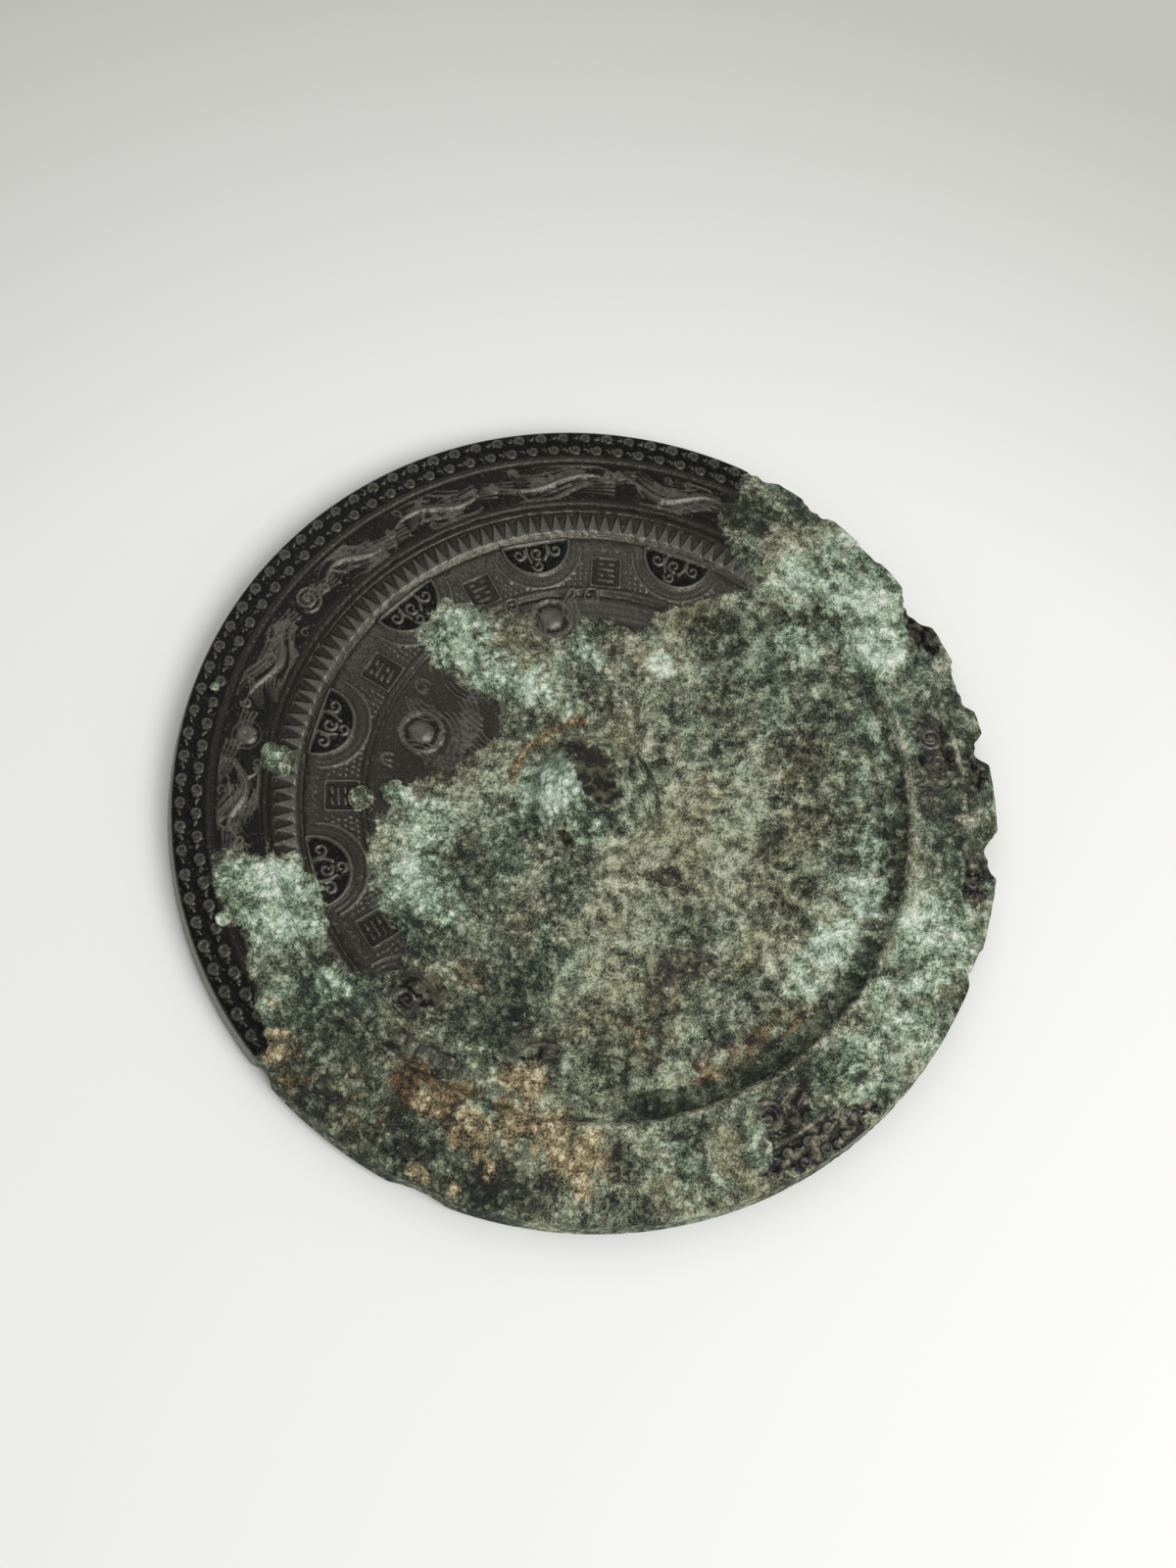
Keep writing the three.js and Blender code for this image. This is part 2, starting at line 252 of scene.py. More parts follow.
def dome(radius, height, name, sides=10, rings=3):
    points, faces = [(0, 0, height * mm)], []
    for ring in range(1, rings + 1):
        lift = math.pi / 2 * ring / rings
        for side in range(sides):
            turn = 2 * math.pi * side / sides
            reach = radius * math.sin(lift) * mm
            points.append((reach * math.cos(turn), reach * math.sin(turn), height * math.cos(lift) * mm))
    for side in range(sides):
        after = (side + 1) % sides
        faces.append((0, 1 + side, 1 + after))
        for ring in range(rings - 1):
            low = 1 + ring * sides
            faces.append((low + side, low + sides + side, low + sides + after, low + after))
    mesh = bpy.data.meshes.new(name)
    mesh.from_pydata(points, [], faces)
    made = bpy.data.objects.new(name, mesh)
    scene.collection.objects.link(made)
    return made


# Cloud scrolls on the bevelled rim: two staggered rows of curls
cloudScroll = {
    "perRow": 106,
    "outerRadius": 66.0,
    "innerRadius": 63.72,
    "curlRadius": 1.0,
    "lineWidth": 0.46,
    "height": 1.9,           # against half the line's width
    "rollHeight": 0.13,      # of the low swelling under each curl
}
curl = cloudScroll["curlRadius"]
half = cloudScroll["lineWidth"] / 2
outerCurl = [spiral(0, 0, curl, 0.3, 2.0, -1.2, half, 22), arc(0.35, 1.95, 0.42, 2.2, 5.2, half * 0.9, 6)]
innerCurl = [spiral(0, 0, curl, 0.3, 1.1, 1.2, half, 22), arc(-0.35, 1.95, 0.42, -2.0, 0.9, half * 0.9, 6)]
pitch = 360 / cloudScroll["perRow"]
outerPlaces = [[cloudScroll["outerRadius"], i * pitch] for i in range(cloudScroll["perRow"])]
innerPlaces = [[cloudScroll["innerRadius"], (i + 0.5) * pitch] for i in range(cloudScroll["perRow"])]
stampParts = [
    repeated(strokeMesh(outerCurl, "outerCurl", cloudScroll["height"]), outerPlaces, "outerCurls", 0.06, 3),
    repeated(strokeMesh(innerCurl, "innerCurl", cloudScroll["height"]), innerPlaces, "innerCurls", 0.06, 4),
    repeated(dome(curl * 1.1, cloudScroll["rollHeight"], "roll", 12, 3), outerPlaces + innerPlaces,
             "rolls", 0.03, 7),
]

# Saw-tooth band: raised triangles with their points outwards
sawTooth = {
    "count": 147,
    "baseRadius": 48.9,
    "length": 3.1,
    "baseWidth": 2.06,
    "height": 0.45,
}
wide = sawTooth["baseWidth"] / 2
tipX = sawTooth["length"]
toothMotif = flatPrism(
    [(-0.8, -wide), (0, -wide), (tipX, -0.12), (tipX, 0.12), (0, wide), (-0.8, wide)],
    [(-0.4, -wide), (0, -wide * 0.85), (tipX, -0.05), (tipX, 0.05), (0, wide * 0.85), (-0.4, wide)],
    sawTooth["height"])
toothPlaces = [[sawTooth["baseRadius"], i * 360 / sawTooth["count"]] for i in range(sawTooth["count"])]
stampParts.append(repeated(toothMotif, toothPlaces, "teeth", 0.02, 6))

# Half-moons: flat side outwards, four curls inside, and a wide arch line round each
halfMoon = {
    "flatRadius": 47.0,
    "radius": 5.9,
    "frameWidth": 0.72,
    "curlRadius": 1.2,
    "curlWidth": 0.6,
    "height": 1.5,           # against half the line's width
    "archRadius": 7.9,
    "archWidth": 0.6,
    "archHeight": 1.2,
    "thinArchRadius": 6.9,
    "thinArchWidth": 0.32,
}
moonHalf = halfMoon["frameWidth"] / 2
moonR = halfMoon["radius"]
moonPath = arc(0, 0, moonR, math.pi / 2, math.pi * 1.5, moonHalf, 20)
moonPath += [(0, 0, moonHalf), moonPath[0]]
curlHalf = halfMoon["curlWidth"] / 2
curlR = halfMoon["curlRadius"]
moonStrokes = [
    moonPath,
    spiral(-1.8, -3.2, curlR, 0.3, 0.9, 1.15, curlHalf),
    spiral(-2.0, 0.1, curlR, 0.3, -2.6, -1.15, curlHalf),
    spiral(-1.8, 3.2, curlR, 0.3, -0.9, -1.15, curlHalf),
    spiral(-4.3, 0.3, curlR * 0.85, 0.3, 1.3, 1.1, curlHalf),
    [(-0.5, -1.9, curlHalf), (-2.2, -1.7, curlHalf), (-3.5, -0.9, curlHalf)],
    [(-0.5, 1.7, curlHalf), (-2.2, 1.8, curlHalf), (-3.6, 1.3, curlHalf)],
]
moonPlaces = [[halfMoon["flatRadius"], angle] for angle in moonAngles]
moonMotif = strokeMesh(moonStrokes, "halfMoon", halfMoon["height"])
stampParts.append(repeated(moonMotif, moonPlaces, "halfMoons"))
archHalf = halfMoon["archWidth"] / 2
thinHalf = halfMoon["thinArchWidth"] / 2
archStrokes = [
    arc(-0.6, 0, halfMoon["archRadius"], math.pi * 0.56, math.pi * 1.44, archHalf, 20),
    arc(-0.6, 0, halfMoon["thinArchRadius"], math.pi * 0.54, math.pi * 1.46, thinHalf, 20),
]
stampParts.append(repeated(strokeMesh(archStrokes, "arch", halfMoon["archHeight"]), moonPlaces, "arches"))

# Square blocks between the half-moons: a frame round rows of plain strokes that spell nothing
sealBlock = {
    "middleRadius": 41.1,
    "width": 5.0,
    "length": 5.4,
    "lineWidth": 0.55,
    "height": 1.4,           # against half the line's width
    "rows": [-1.55, -0.5, 0.55, 1.6],
}
nextMoon = moonAngles[1:] + moonAngles[:1]
sealAngles = [a + ((b - a) % 360) / 2 for a, b in zip(moonAngles, nextMoon)]
sealHalf = sealBlock["lineWidth"] / 2
sideX, sideY = sealBlock["length"] / 2, sealBlock["width"] / 2
corners = [(-sideX, -sideY), (sideX, -sideY), (sideX, sideY), (-sideX, sideY), (-sideX, -sideY), (0, -sideY)]
sealStrokes = [[(x, y, sealHalf) for x, y in corners]]
for number, x in enumerate(sealBlock["rows"]):
    for low, high in ([(-1.5, -0.35), (0.35, 1.5)] if number % 2 else [(-1.4, 1.4)]):
        sealStrokes.append([(x, low, sealHalf * 0.8), (x, high, sealHalf * 0.8)])
sealMotif = strokeMesh(sealStrokes, "sealBlock", sealBlock["height"])
stampParts.append(repeated(sealMotif, [[sealBlock["middleRadius"], a] for a in sealAngles], "sealBlocks"))

# Dotted ground round the square blocks
dotGround = {
    "pitch": 0.95,
    "dotRadius": 0.32,
    "dotHeight": 0.36,
    "clearOfSeal": 3.4,
    "clearOfMoon": 8.5,
}
dotPlaces = []
for row, radius in enumerate(np.arange(38.9, 44.4, dotGround["pitch"])):
    count = int(2 * math.pi * radius / dotGround["pitch"])
    for i in range(count):
        angle = 360 * (i + 0.5 * (row % 2)) / count
        fromMoons = [math.radians(angle - a) for a in moonAngles]
        moonGap = min(math.dist((radius * math.cos(a), radius * math.sin(a)), (halfMoon["flatRadius"], 0))
                      for a in fromMoons)
        fromSeals = [math.radians(angle - a) for a in sealAngles]
        sealGap = min(abs(radius * math.sin(a)) for a in fromSeals if math.cos(a) > 0)
        if moonGap > dotGround["clearOfMoon"] and sealGap > dotGround["clearOfSeal"]:
            dotPlaces.append([radius, angle])
stampParts.append(repeated(
    dome(dotGround["dotRadius"], dotGround["dotHeight"], "dot", 6, 2), dotPlaces, "dots", 0.05, 9))

# Small bows in the gaps between the half-moons, at the outer edge of their band
bow = {
    "placeRadius": 45.4,
    "spread": 3.0,           # degrees from one to the next
    "radius": 0.85,
    "lineWidth": 0.4,
}
bowShifts = (-bow["spread"], 0, bow["spread"])
bowPlaces = [[bow["placeRadius"], a + shift] for a in sealAngles for shift in bowShifts]
bowStroke = arc(-0.4, 0, bow["radius"], -math.pi / 2, math.pi / 2, bow["lineWidth"] / 2, 8)
stampParts.append(repeated(strokeMesh([bowStroke], "bow", 1.0), bowPlaces, "bows", 0.04, 2))

# Ring nipples in the field, with curved mane lines beside them
ringNipple = {
    "places": [[33, 103], [30.6, 160], [31, 223], [28.6, 280], [31, 343], [31, 43]],
    "domeRadius": 2.1,
    "domeHeight": 0.75,
    "ringRadius": 3.4,
    "ringWidth": 0.8,
    "lineHeight": 1.5,       # against half the line's width
}
nippleDome = dome(ringNipple["domeRadius"], ringNipple["domeHeight"], "nipple", 16, 4)
stampParts.append(repeated(nippleDome, ringNipple["places"], "nipples"))
nippleLines = [arc(0, 0, ringNipple["ringRadius"], 0, 2 * math.pi, ringNipple["ringWidth"] / 2, 24)]
for step in range(4):
    nippleLines.append(arc(-0.6, 0.5, 4.7 + 0.85 * step, 2.4, 4.6 - 0.15 * step, 0.24, 12))
    nippleLines.append(arc(-1.0, 5.4, 1.6 + 0.8 * step, 3.3, 5.4, 0.22, 10))
    nippleLines.append(arc(1.0, -6.0, 1.4 + 0.8 * step, 0.3, 2.6, 0.22, 10))
nippleLines += [spiral(-5.0, 7.6, 1.7, 0.4, 0.4, 1.3, 0.32), spiral(3.2, 6.2, 1.4, 0.3, 2.2, -1.2, 0.3),
                spiral(2.8, -7.4, 1.5, 0.35, 4.0, 1.2, 0.3)]
nippleMotif = strokeMesh(nippleLines, "nippleLines", ringNipple["lineHeight"])
stampParts.append(repeated(nippleMotif, ringNipple["places"], "maneLines"))
collarLine = arc(0, 0, castForm["collarRadius"], 0, 2 * math.pi, castForm["collarWidth"] / 2, 90)
stampParts.append(strokeMesh([collarLine], "knobCollar", 0.9, 10))

# Runs of parallel curved lines in the field: [x, y, first radius, lines, from, to], angles in radians
fieldLines = {
    "spacing": 0.82,
    "lineWidth": 0.42,
    "height": 1.6,           # against half the line's width
    "runs": [
        [0, 0, 32.2, 5, 1.30, 1.72], [9, -31, 2.0, 4, 0.2, 2.6], [17, -29, 1.2, 5, 3.0, 5.6],
        [13, -22, 3.2, 3, 4.2, 5.9], [-16, 12, 3.0, 5, 2.6, 4.4], [-27, 13, 5.2, 4, -0.9, 0.7],
        [-20, 22, 3.4, 4, 3.6, 5.4], [4, -33, 1.0, 3, 0.5, 3.4], [0, 0, 33.0, 4, 4.9, 5.35],
        [-12, -29, 2.0, 3, 1.0, 4.0],
    ],
}
fieldStrokes = [
    arc(lineX, lineY, least + fieldLines["spacing"] * step, first, last, fieldLines["lineWidth"] / 2, 14)
    for lineX, lineY, least, lines, first, last in fieldLines["runs"] for step in range(lines)
]
stampParts.append(strokeMesh(fieldStrokes, "fieldLines", fieldLines["height"]))

# Picture band: long winding beasts with manes, legs and wings, between cloud curls
pictureBand = {
    "middleRadius": 57.3,
    "reach": 3.1,            # how far a line may swing to either side
    "beasts": [[68, 86], [88, 108], [111, 128], [130, 143], [151, 167], [177, 190], [192, 212],
               [222, 244], [247, 268], [270, 290], [302, 322], [325, 346], [350, 368], [18, 38], [42, 62]],
    "bodyWidth": 1.0,
    "hairWidth": 0.38,
    "hairGap": 0.74,
    "hairs": 18,
    "sheaves": 90,
    "lineHeight": 1.5,       # against half the line's width
    "sunAngle": 172.3,
    "sunRadius": 57.0,
    "whorls": [[146.5, 58.0, 2.5], [297, 57.6, 2.6], [12, 58.2, 2.1], [88, 58.6, 1.3], [117, 56.0, 1.2],
               [205, 56.4, 1.6]],
}
middle = pictureBand["middleRadius"]
bandStrokes = []


def bandPath(points):  # (angle, distance out from the band's middle, half width) to a stroke
    reach = pictureBand["reach"]
    return [((middle + np.clip(out, -reach, reach)) * math.cos(math.radians(angle)),
             (middle + np.clip(out, -reach, reach)) * math.sin(math.radians(angle)), width)
            for angle, out, width in points]


for start, end in pictureBand["beasts"]:
    span = end - start
    swing, phase = rng.uniform(1.1, 1.7), rng.uniform(0, 6.28)
    shares = np.linspace(0, 1, 22)
    spine = swing * np.sin(phase + shares * rng.uniform(5.5, 7.5))
    bodyHalf = pictureBand["bodyWidth"] / 2 * np.sin(np.pi * (0.1 + 0.86 * shares)) ** 0.7
    bandStrokes.append(bandPath(zip(start + span * shares, spine, bodyHalf)))
    for hair in range(pictureBand["hairs"]):  # mane and tail lines that run beside the body
        first = rng.uniform(0, 0.55)
        last = first + rng.uniform(0.3, 0.5)
        part = np.linspace(first, min(1, last), 9)
        offset = (0.85 + pictureBand["hairGap"] * (hair // 4)) * (1 if hair % 2 else -1)
        side = np.interp(part, shares, spine) + offset * (0.75 + 0.35 * (part - first) / (last - first))
        thin = pictureBand["hairWidth"] / 2 * (1.2 - 0.5 * (part - first) / (last - first))
        bandStrokes.append(bandPath(zip(start + span * part, side, thin)))
    for leg in range(3):
        at = rng.uniform(0.15, 0.9)
        hip = np.interp(at, shares, spine)
        toward = 1 if rng.random() > 0.5 else -1
        bend = np.linspace(0, 1, 6)
        bandStrokes.append(bandPath(zip(
            start + span * at + 1.6 * bend ** 1.6 * (1 if leg % 2 else -1), hip + toward * 2.4 * bend,
            0.34 - 0.14 * bend)))
    for cloud in range(3):  # curls that fill the ground
        curlTurn = math.radians(rng.uniform(start, end))
        curlAt = middle + rng.choice([-2.5, 2.5, 2.3])
        curlX, curlY = curlAt * math.cos(curlTurn), curlAt * math.sin(curlTurn)
        bandStrokes.append(spiral(curlX, curlY, rng.uniform(0.7, 1.0), 0.2, rng.uniform(0, 6),
                                  rng.choice([-1.1, 1.1]), 0.22, 12))
    headAngle = math.radians(end)
    headRadius = middle + spine[-1]
    bandStrokes.append(spiral(headRadius * math.cos(headAngle), headRadius * math.sin(headAngle),
                              0.95, 0.2, headAngle, 1.2, 0.3, 12))
for sheaf in range(pictureBand["sheaves"]):  # four lines side by side, as of hair or feathers
    first = 360 * sheaf / pictureBand["sheaves"] + rng.uniform(-1.5, 1.5)
    length, base = rng.uniform(3.5, 7), rng.uniform(-2.7, 0.8)
    slant, bow = rng.uniform(-1.4, 1.4), rng.uniform(-2.4, 2.4)
    along = np.linspace(0, 1, 9)
    for line in range(4):
        outward = base + pictureBand["hairGap"] * line * (1 - 0.35 * along) + slant * along + bow * along ** 2
        bandStrokes.append(bandPath(zip(first + length * along, outward, 0.2 * (1.15 - 0.6 * along))))
for angle, radius, reach in pictureBand["whorls"]:
    turn = math.radians(angle)
    centre = radius * math.cos(turn), radius * math.sin(turn)
    bandStrokes.append(spiral(*centre, reach, 0.3, turn + 2, 2.2 if reach > 2 else 1.4, 0.3, 34))
    bandStrokes.append(arc(*centre, 0.2, 0, 6.28, 0.3, 8))
stampParts.append(strokeMesh(bandStrokes, "beasts", pictureBand["lineHeight"]))
sunTurn = math.radians(pictureBand["sunAngle"])
sunAt = pictureBand["sunRadius"] * math.cos(sunTurn), pictureBand["sunRadius"] * math.sin(sunTurn)
sunRings = [arc(*sunAt, 2.35, 0, 2 * math.pi, 0.3, 24), arc(*sunAt, 0.9, 0, 2 * math.pi, 0.85, 16)]
stampParts.append(strokeMesh(sunRings, "sunDisc", 0.6))

# Fine raised lines all the way round: [radius, width]
fineRings = [[61.05, 0.28], [62.75, 0.28], [53.9, 0.32], [52.45, 0.4], [51.95, 0.32], [36.2, 0.36]]
ringStrokes = [arc(0, 0, radius, 0, 2 * math.pi, width / 2, 240) for radius, width in fineRings]
stampParts.append(strokeMesh(ringStrokes, "fineRings", 1.0, 6))

stamps = bmesh.new()
for part in stampParts:
    stamps.from_mesh(part.data)
    bpy.data.objects.remove(part)
stampMesh = bpy.data.meshes.new("stamps")
stamps.to_mesh(stampMesh)
stamps.free()
stampObject = bpy.data.objects.new("stamps", stampMesh)
scene.collection.objects.link(stampObject)
print("ornaments:", len(stampMesh.polygons), "faces")


# Where the green crust lies, from the photo. The outline closes beyond the disc.
crustOutline = [
    (31, 75), (27.5, 61), (24, 56), (21.5, 51.5), (25, 46), (29, 41), (22, 36.5), (14, 34.5), (9, 31),
    (-1, 32.5), (-6, 30), (-11, 33.5), (-17, 32.5), (-21, 33.5), (-27, 34.5), (-30, 27), (-28, 22),
    (-22, 19), (-16, 16.5), (-15, 12), (-21, 7), (-27, 3), (-32, 1), (-35.5, -5), (-36.5, -12), (-35, -19),
    (-30.5, -25), (-31, -29), (-38, -30), (-42, -25), (-42.5, -17), (-46, -11), (-52, -12), (-59.5, -13),
    (-59, -17), (-56, -22), (-53, -29), (-51.5, -35), (-49.5, -41), (-52, -44), (-62, -50), (-75, -75),
    (75, -75), (75, 75),
]

# Places where the crust is thin or gone: [x, y, half length, half width, turn, how bare]
bareSpots = [
    [-28, -33, 5, 4, 0, 0.8], [-25.5, -42.5, 7, 2.6, -31, 0.62], [57, 31, 5, 2.2, 118, 1],
    [57.5, 10, 6.5, 3.2, 101, 0.85], [64.5, 6, 2.5, 1.8, 90, 1], [62.5, -14, 4.2, 2.6, 77, 0.8],
    [34.5, -54.5, 10.5, 3.4, 32, 1], [28.5, -50.5, 4.6, 3.6, 30, 1], [-9.2, -41, 4.2, 3.4, 0, 0.66],
    [14, -28, 6.5, 3.5, 20, 0.75], [-0.5, 2, 8, 3.1, -62, 1], [11.5, -12.5, 3, 2, 10, 0.8],
    [-9, -63, 6, 2.2, 3, 0.5], [18, -40, 5, 3.5, 20, 0.45], [4.5, -27, 4, 3, 0, 0.5],
    [-7, 31, 3.6, 2.6, 0, 0.6], [62.5, -9, 3, 1.6, 80, 0.6], [56, 1, 5, 2.5, 90, 0.5],
    [-9, 30, 12, 1.4, 3, 0.4], [-29, -57, 6, 2.4, -28, 0.5],
]

# Kinds of corrosion on top of the crust's mid green: [x, y, radius, strength]
corrosion = {
    "mint": [
        [-8.8, 1.2, 6.0, 1], [-7.5, -3.5, 3.0, 0.9], [-29, -14, 5.5, 1], [-27, -5, 6, 0.8],
        [-32, -1, 3, 0.8], [-24, -18, 5, 0.7], [-23, 27, 7, 0.75], [-11, 19, 4, 0.8], [-6, 16.5, 4, 0.6],
        [11, 24.5, 3, 1], [-1, 26, 4, 0.6], [-17, 21, 5, 0.7], [-49.5, -20, 8.5, 1], [-56, -16, 4.2, 1],
        [-51.5, 4, 3.0, 0.6], [-38, -1.5, 2.3, 0.4], [-41, -32, 3.5, 0.8], [-50, -35.5, 2.2, 0.9],
        [-58, -22.5, 1.5, 0.9], [47, 37, 11, 0.75], [48, 28, 6, 1], [35, 41, 6, 0.7], [35, 29, 5, 0.7],
        [44, 46, 6, 0.7], [39, -23, 4.5, 1], [46, -8, 4, 0.7], [44, -15, 4.5, 0.8], [34, -29, 5, 0.7],
        [55, -22, 9, 0.8], [49, -35, 10, 0.58], [42, -43, 7, 0.52], [14, -59, 7, 0.4], [-2, -6, 4, 0.6],
        [25, -55, 5, 0.6], [-66, 12, 1.2, 0.5], [-62.2, 15.6, 0.9, 0.9], [-66, 22, 0.7, 0.6],
        [-47.5, 35.5, 0.7, 0.5],
    ],
    "cream": [
        [-5.2, -6.6, 3.4, 0.6], [33, 46, 5, 1], [51, 48, 4, 0.8], [9, -14, 6, 0.5], [62, -3, 3, 0.6],
        [57, -25, 5, 0.4], [-38, -1.5, 3.0, 1], [-51.5, 4, 3.4, 0.9], [-57.8, -22.6, 1.8, 0.8],
        [-50.2, -35.6, 2.4, 0.8], [-56.5, -15.5, 3, 0.7], [-25.5, -18.5, 2.2, 0.4], [20, 10, 14, 0.25],
        [-2, -12, 9, 0.4], [5, 24, 9, 0.58], [-6, -18, 9, 0.5], [32, -26, 6, 0.5],
    ],
    "frost": [
        [-7.4, 1.0, 5.6, 1], [-8, -3.4, 2.4, 0.8], [-29, -14, 3.2, 0.9], [-26.5, -17.5, 2.5, 0.8],
        [48, 28, 3, 0.7], [43, 38, 4.5, 0.6], [35, 41, 2.6, 0.6], [-49.5, -16.5, 4.4, 0.7],
        [-47, -23, 3, 0.6], [44.5, -17, 2.6, 0.8], [37, -24.5, 2.6, 0.8], [11, 24.5, 2.2, 0.8],
        [-1, 26, 2.2, 0.6], [56, -21, 3.6, 0.6], [51, -30, 3.6, 0.6], [-11, 19, 2.2, 0.7],
        [-42, -31, 2.2, 0.7], [12, -57, 3, 0.5], [-20, 25, 3, 0.5], [46, -4, 1.6, 0.8],
    ],
    "ochre": [
        [-25.5, -50.5, 2.3, 1], [-19, -54, 4, 0.9], [-13, -52, 4, 0.9], [-7, -54.5, 4.2, 0.9],
        [-2, -56, 3, 0.9], [-17, -59, 3, 0.7], [-11, -46, 4.5, 0.8], [-27, -60, 1.7, 0.9],
        [-22, -62, 1.4, 0.9], [-49.5, -41, 2.8, 0.8], [-50, -36, 1.8, 0.5], [-4, -60, 4, 0.6],
        [9, 26, 4, 0.3],
    ],
    "rust": [
        [-28, -47, 5, 0.9], [-22, -50, 5, 0.7], [4, 27, 7, 0.45], [-12, -23, 4, 0.4], [9, -37, 7, 0.4],
        [-21, -30, 4, 0.5], [47, -17, 3, 0.4], [-46, -45, 4, 0.5], [-35, -50, 6, 0.35], [0, -58, 5, 0.5],
        [-7, 11, 2.4, 0.4], [31, 8, 6, 0.3],
    ],
    "dark": [
        [25, 54, 5, 0.9], [30, 51, 5, 0.9], [22, 29, 7, 0.6], [30, 35, 6, 0.5], [-9, -17, 6, 0.3],
        [-15, -35, 7, 0.7], [-41, -44, 10, 0.7], [17, -20, 4, 0.8], [29, -6, 3, 0.8], [29, -42, 7, 0.6],
        [4, -41, 8, 0.7], [-28, -58, 6, 0.8], [-15, -64, 8, 0.9], [-6.4, -8.7, 2.1, 1],
        [-29, -33.5, 4.5, 0.7], [-8, -44, 4.5, 0.8], [19.5, -41, 4.5, 0.5], [-38, -39, 7, 0.6],
        [17, -44, 6, 0.6], [55, 20, 5, 0.6], [60, -8, 5, 0.6], [-33, -54, 9, 0.6], [38, 2, 6, 0.35],
        [20, 15, 8, 0.3], [-20, -26, 6, 0.5], [38, 20, 7, 0.4], [10, -20, 6, 0.4], [63, 10, 7, 0.9],
        [64, -6, 6, 0.8], [62, 20, 6, 0.6],
    ],
}

# Dirt and corrosion that follow the rings, with painted shade and a painted highlight: [inner radius, outer
# radius, from angle, to angle, strength]
ringMarksAndPaintedLight = {
    # the first six dark bands, at the foot of the step, in the groove and beside the rim line, are painted
    # shade with some dirt; the last four darken the picture band at the right and the lower left
    "dark": [
        [48.3, 52.4, -88, 0, 1.0], [50.6, 52.4, -2, 42, 0.8], [47.1, 48.1, -60, 62, 0.5],
        [60.6, 61.3, -18, 28, 0.6], [62.3, 63.0, -18, 28, 0.6], [51.4, 52.5, 214, 272, 0.8],
        [54.0, 60.5, -14, 22, 0.5], [66.2, 68.5, 226, 262, 0.7], [62.3, 63.1, 222, 262, 0.5],
        [48.6, 51.5, 222, 250, 0.6],
    ],
    # the first cream band, on the step's crest, is a painted highlight
    "cream": [[52.6, 53.4, -78, 30, 0.75], [61.4, 62.2, -40, 20, 0.35]],
    "mint": [[45.2, 47.2, -42, -8, 0.75], [52.5, 54.2, 20, 55, 0.5]],
    "rust": [[13.0, 14.6, 95, 190, 1.0], [45.0, 49.0, -75, -38, 0.5]],
    "ochre": [[13.2, 14.2, 100, 175, 0.6]],
}

# Single lumps that stand well above the crust: [x, y, radius, height]
lumps = [
    [-51.5, 4, 2.7, 1.1], [-38, -1.6, 2.1, 0.9], [-51, -19, 6.4, 0.9], [-57.6, -16, 3, 0.8],
    [-57.8, -22.6, 1.2, 0.7], [-50.2, -35.6, 2, 0.8], [-25.4, -50.6, 2, 0.7], [-27.2, -59.8, 1.6, 0.7],
    [-21.8, -61.8, 1.4, 0.6], [-19, -54, 3, 0.6], [-13, -52, 2.2, 0.6], [-7, -54.5, 2.6, 0.6],
    [-2.5, -56, 2, 0.6], [-29, -14.5, 5, 0.8], [-25, 28, 3, 0.7], [48, 28, 5, 0.6], [33, 46, 4, 0.5],
    [-24, -18, 1.8, 0.6], [-62.2, 15.6, 0.8, 0.4], [-11, 2, 3.5, 0.5], [39, -23, 3, 0.5], [-33, 0, 2, 0.5],
    [-11, 19, 2, 0.5],
]
waves = rng.uniform(-1, 1, (9, 4))


def ripple(x, y, size):  # soft irregular waves, about `size` apart, from -1 to 1
    total = 0
    for a, b, c, d in waves:
        oneWay = np.sin((x * a + y * b) * 4.4 / size + c * 9)
        otherWay = np.cos((x * d - y * a) * 3.7 / size + b * 7)
        total = total + oneWay * otherWay
    return total / 3


def insideDistance(x, y, outline):  # distance to a closed outline, positive inside
    inside = np.zeros(x.shape, bool)
    nearest = np.full(x.shape, 1e9)
    for (x0, y0), (x1, y1) in zip(outline, outline[1:] + outline[:1]):
        dx, dy = x1 - x0, y1 - y0
        share = np.clip(((x - x0) * dx + (y - y0) * dy) / (dx * dx + dy * dy), 0, 1)
        nearest = np.minimum(nearest, np.hypot(x - x0 - share * dx, y - y0 - share * dy))
        crosses = (y0 > y) != (y1 > y)
        reach = x0 + (y - y0) * dx / (dy if abs(dy) > 1e-9 else 1e-9)
        inside ^= crosses & (x < reach)
    return np.where(inside, nearest, -nearest)


def blobs(x, y, places):  # soft round spots
    total = np.zeros(x.shape)
    for cx, cy, radius, strength in places:
        far = np.hypot(x - cx, y - cy) / radius
        total = np.maximum(total, strength * (1 - smoothStep(0.45, 1.25, far)))
    return total


def ringBands(radius, angle, marks):  # soft bands along a ring
    total = np.zeros(radius.shape)
    for inner, outer, first, last, strength in marks:
        across = smoothStep(inner - 0.35, inner + 0.25, radius)
        across = across * (1 - smoothStep(outer - 0.25, outer + 0.35, radius))
        away = np.abs((angle - (first + last) / 2 + 540) % 360 - 180)
        reach = (last - first) / 2
        total = np.maximum(total, strength * across * (1 - smoothStep(reach - 4, reach + 2, away)))
    return total


def crustShare(x, y):  # 0 on bare metal to 1 under the full crust
    edge = insideDistance(x, y, crustOutline) + 1.3 * ripple(x, y, 9) + 0.6 * ripple(y, x, 3)
    share = smoothStep(-1.3, 1.6, edge)
    for cx, cy, long, wide, turn, bare in bareSpots:
        c, s = math.cos(math.radians(turn)), math.sin(math.radians(turn))
        along, across = (x - cx) * c + (y - cy) * s, (y - cy) * c - (x - cx) * s
        far = np.hypot(along / long, across / wide) + 0.2 * ripple(x, y, 3.5)
        share = share * (1 - bare * (1 - smoothStep(0.6, 1.3, far)))
    for cx, cy, radius, height in lumps:
        far = np.hypot(x - cx, y - cy) / radius + 0.12 * ripple(x, y, 2.5)
        share = np.maximum(share, 1 - smoothStep(0.85, 1.15, far))
    return share


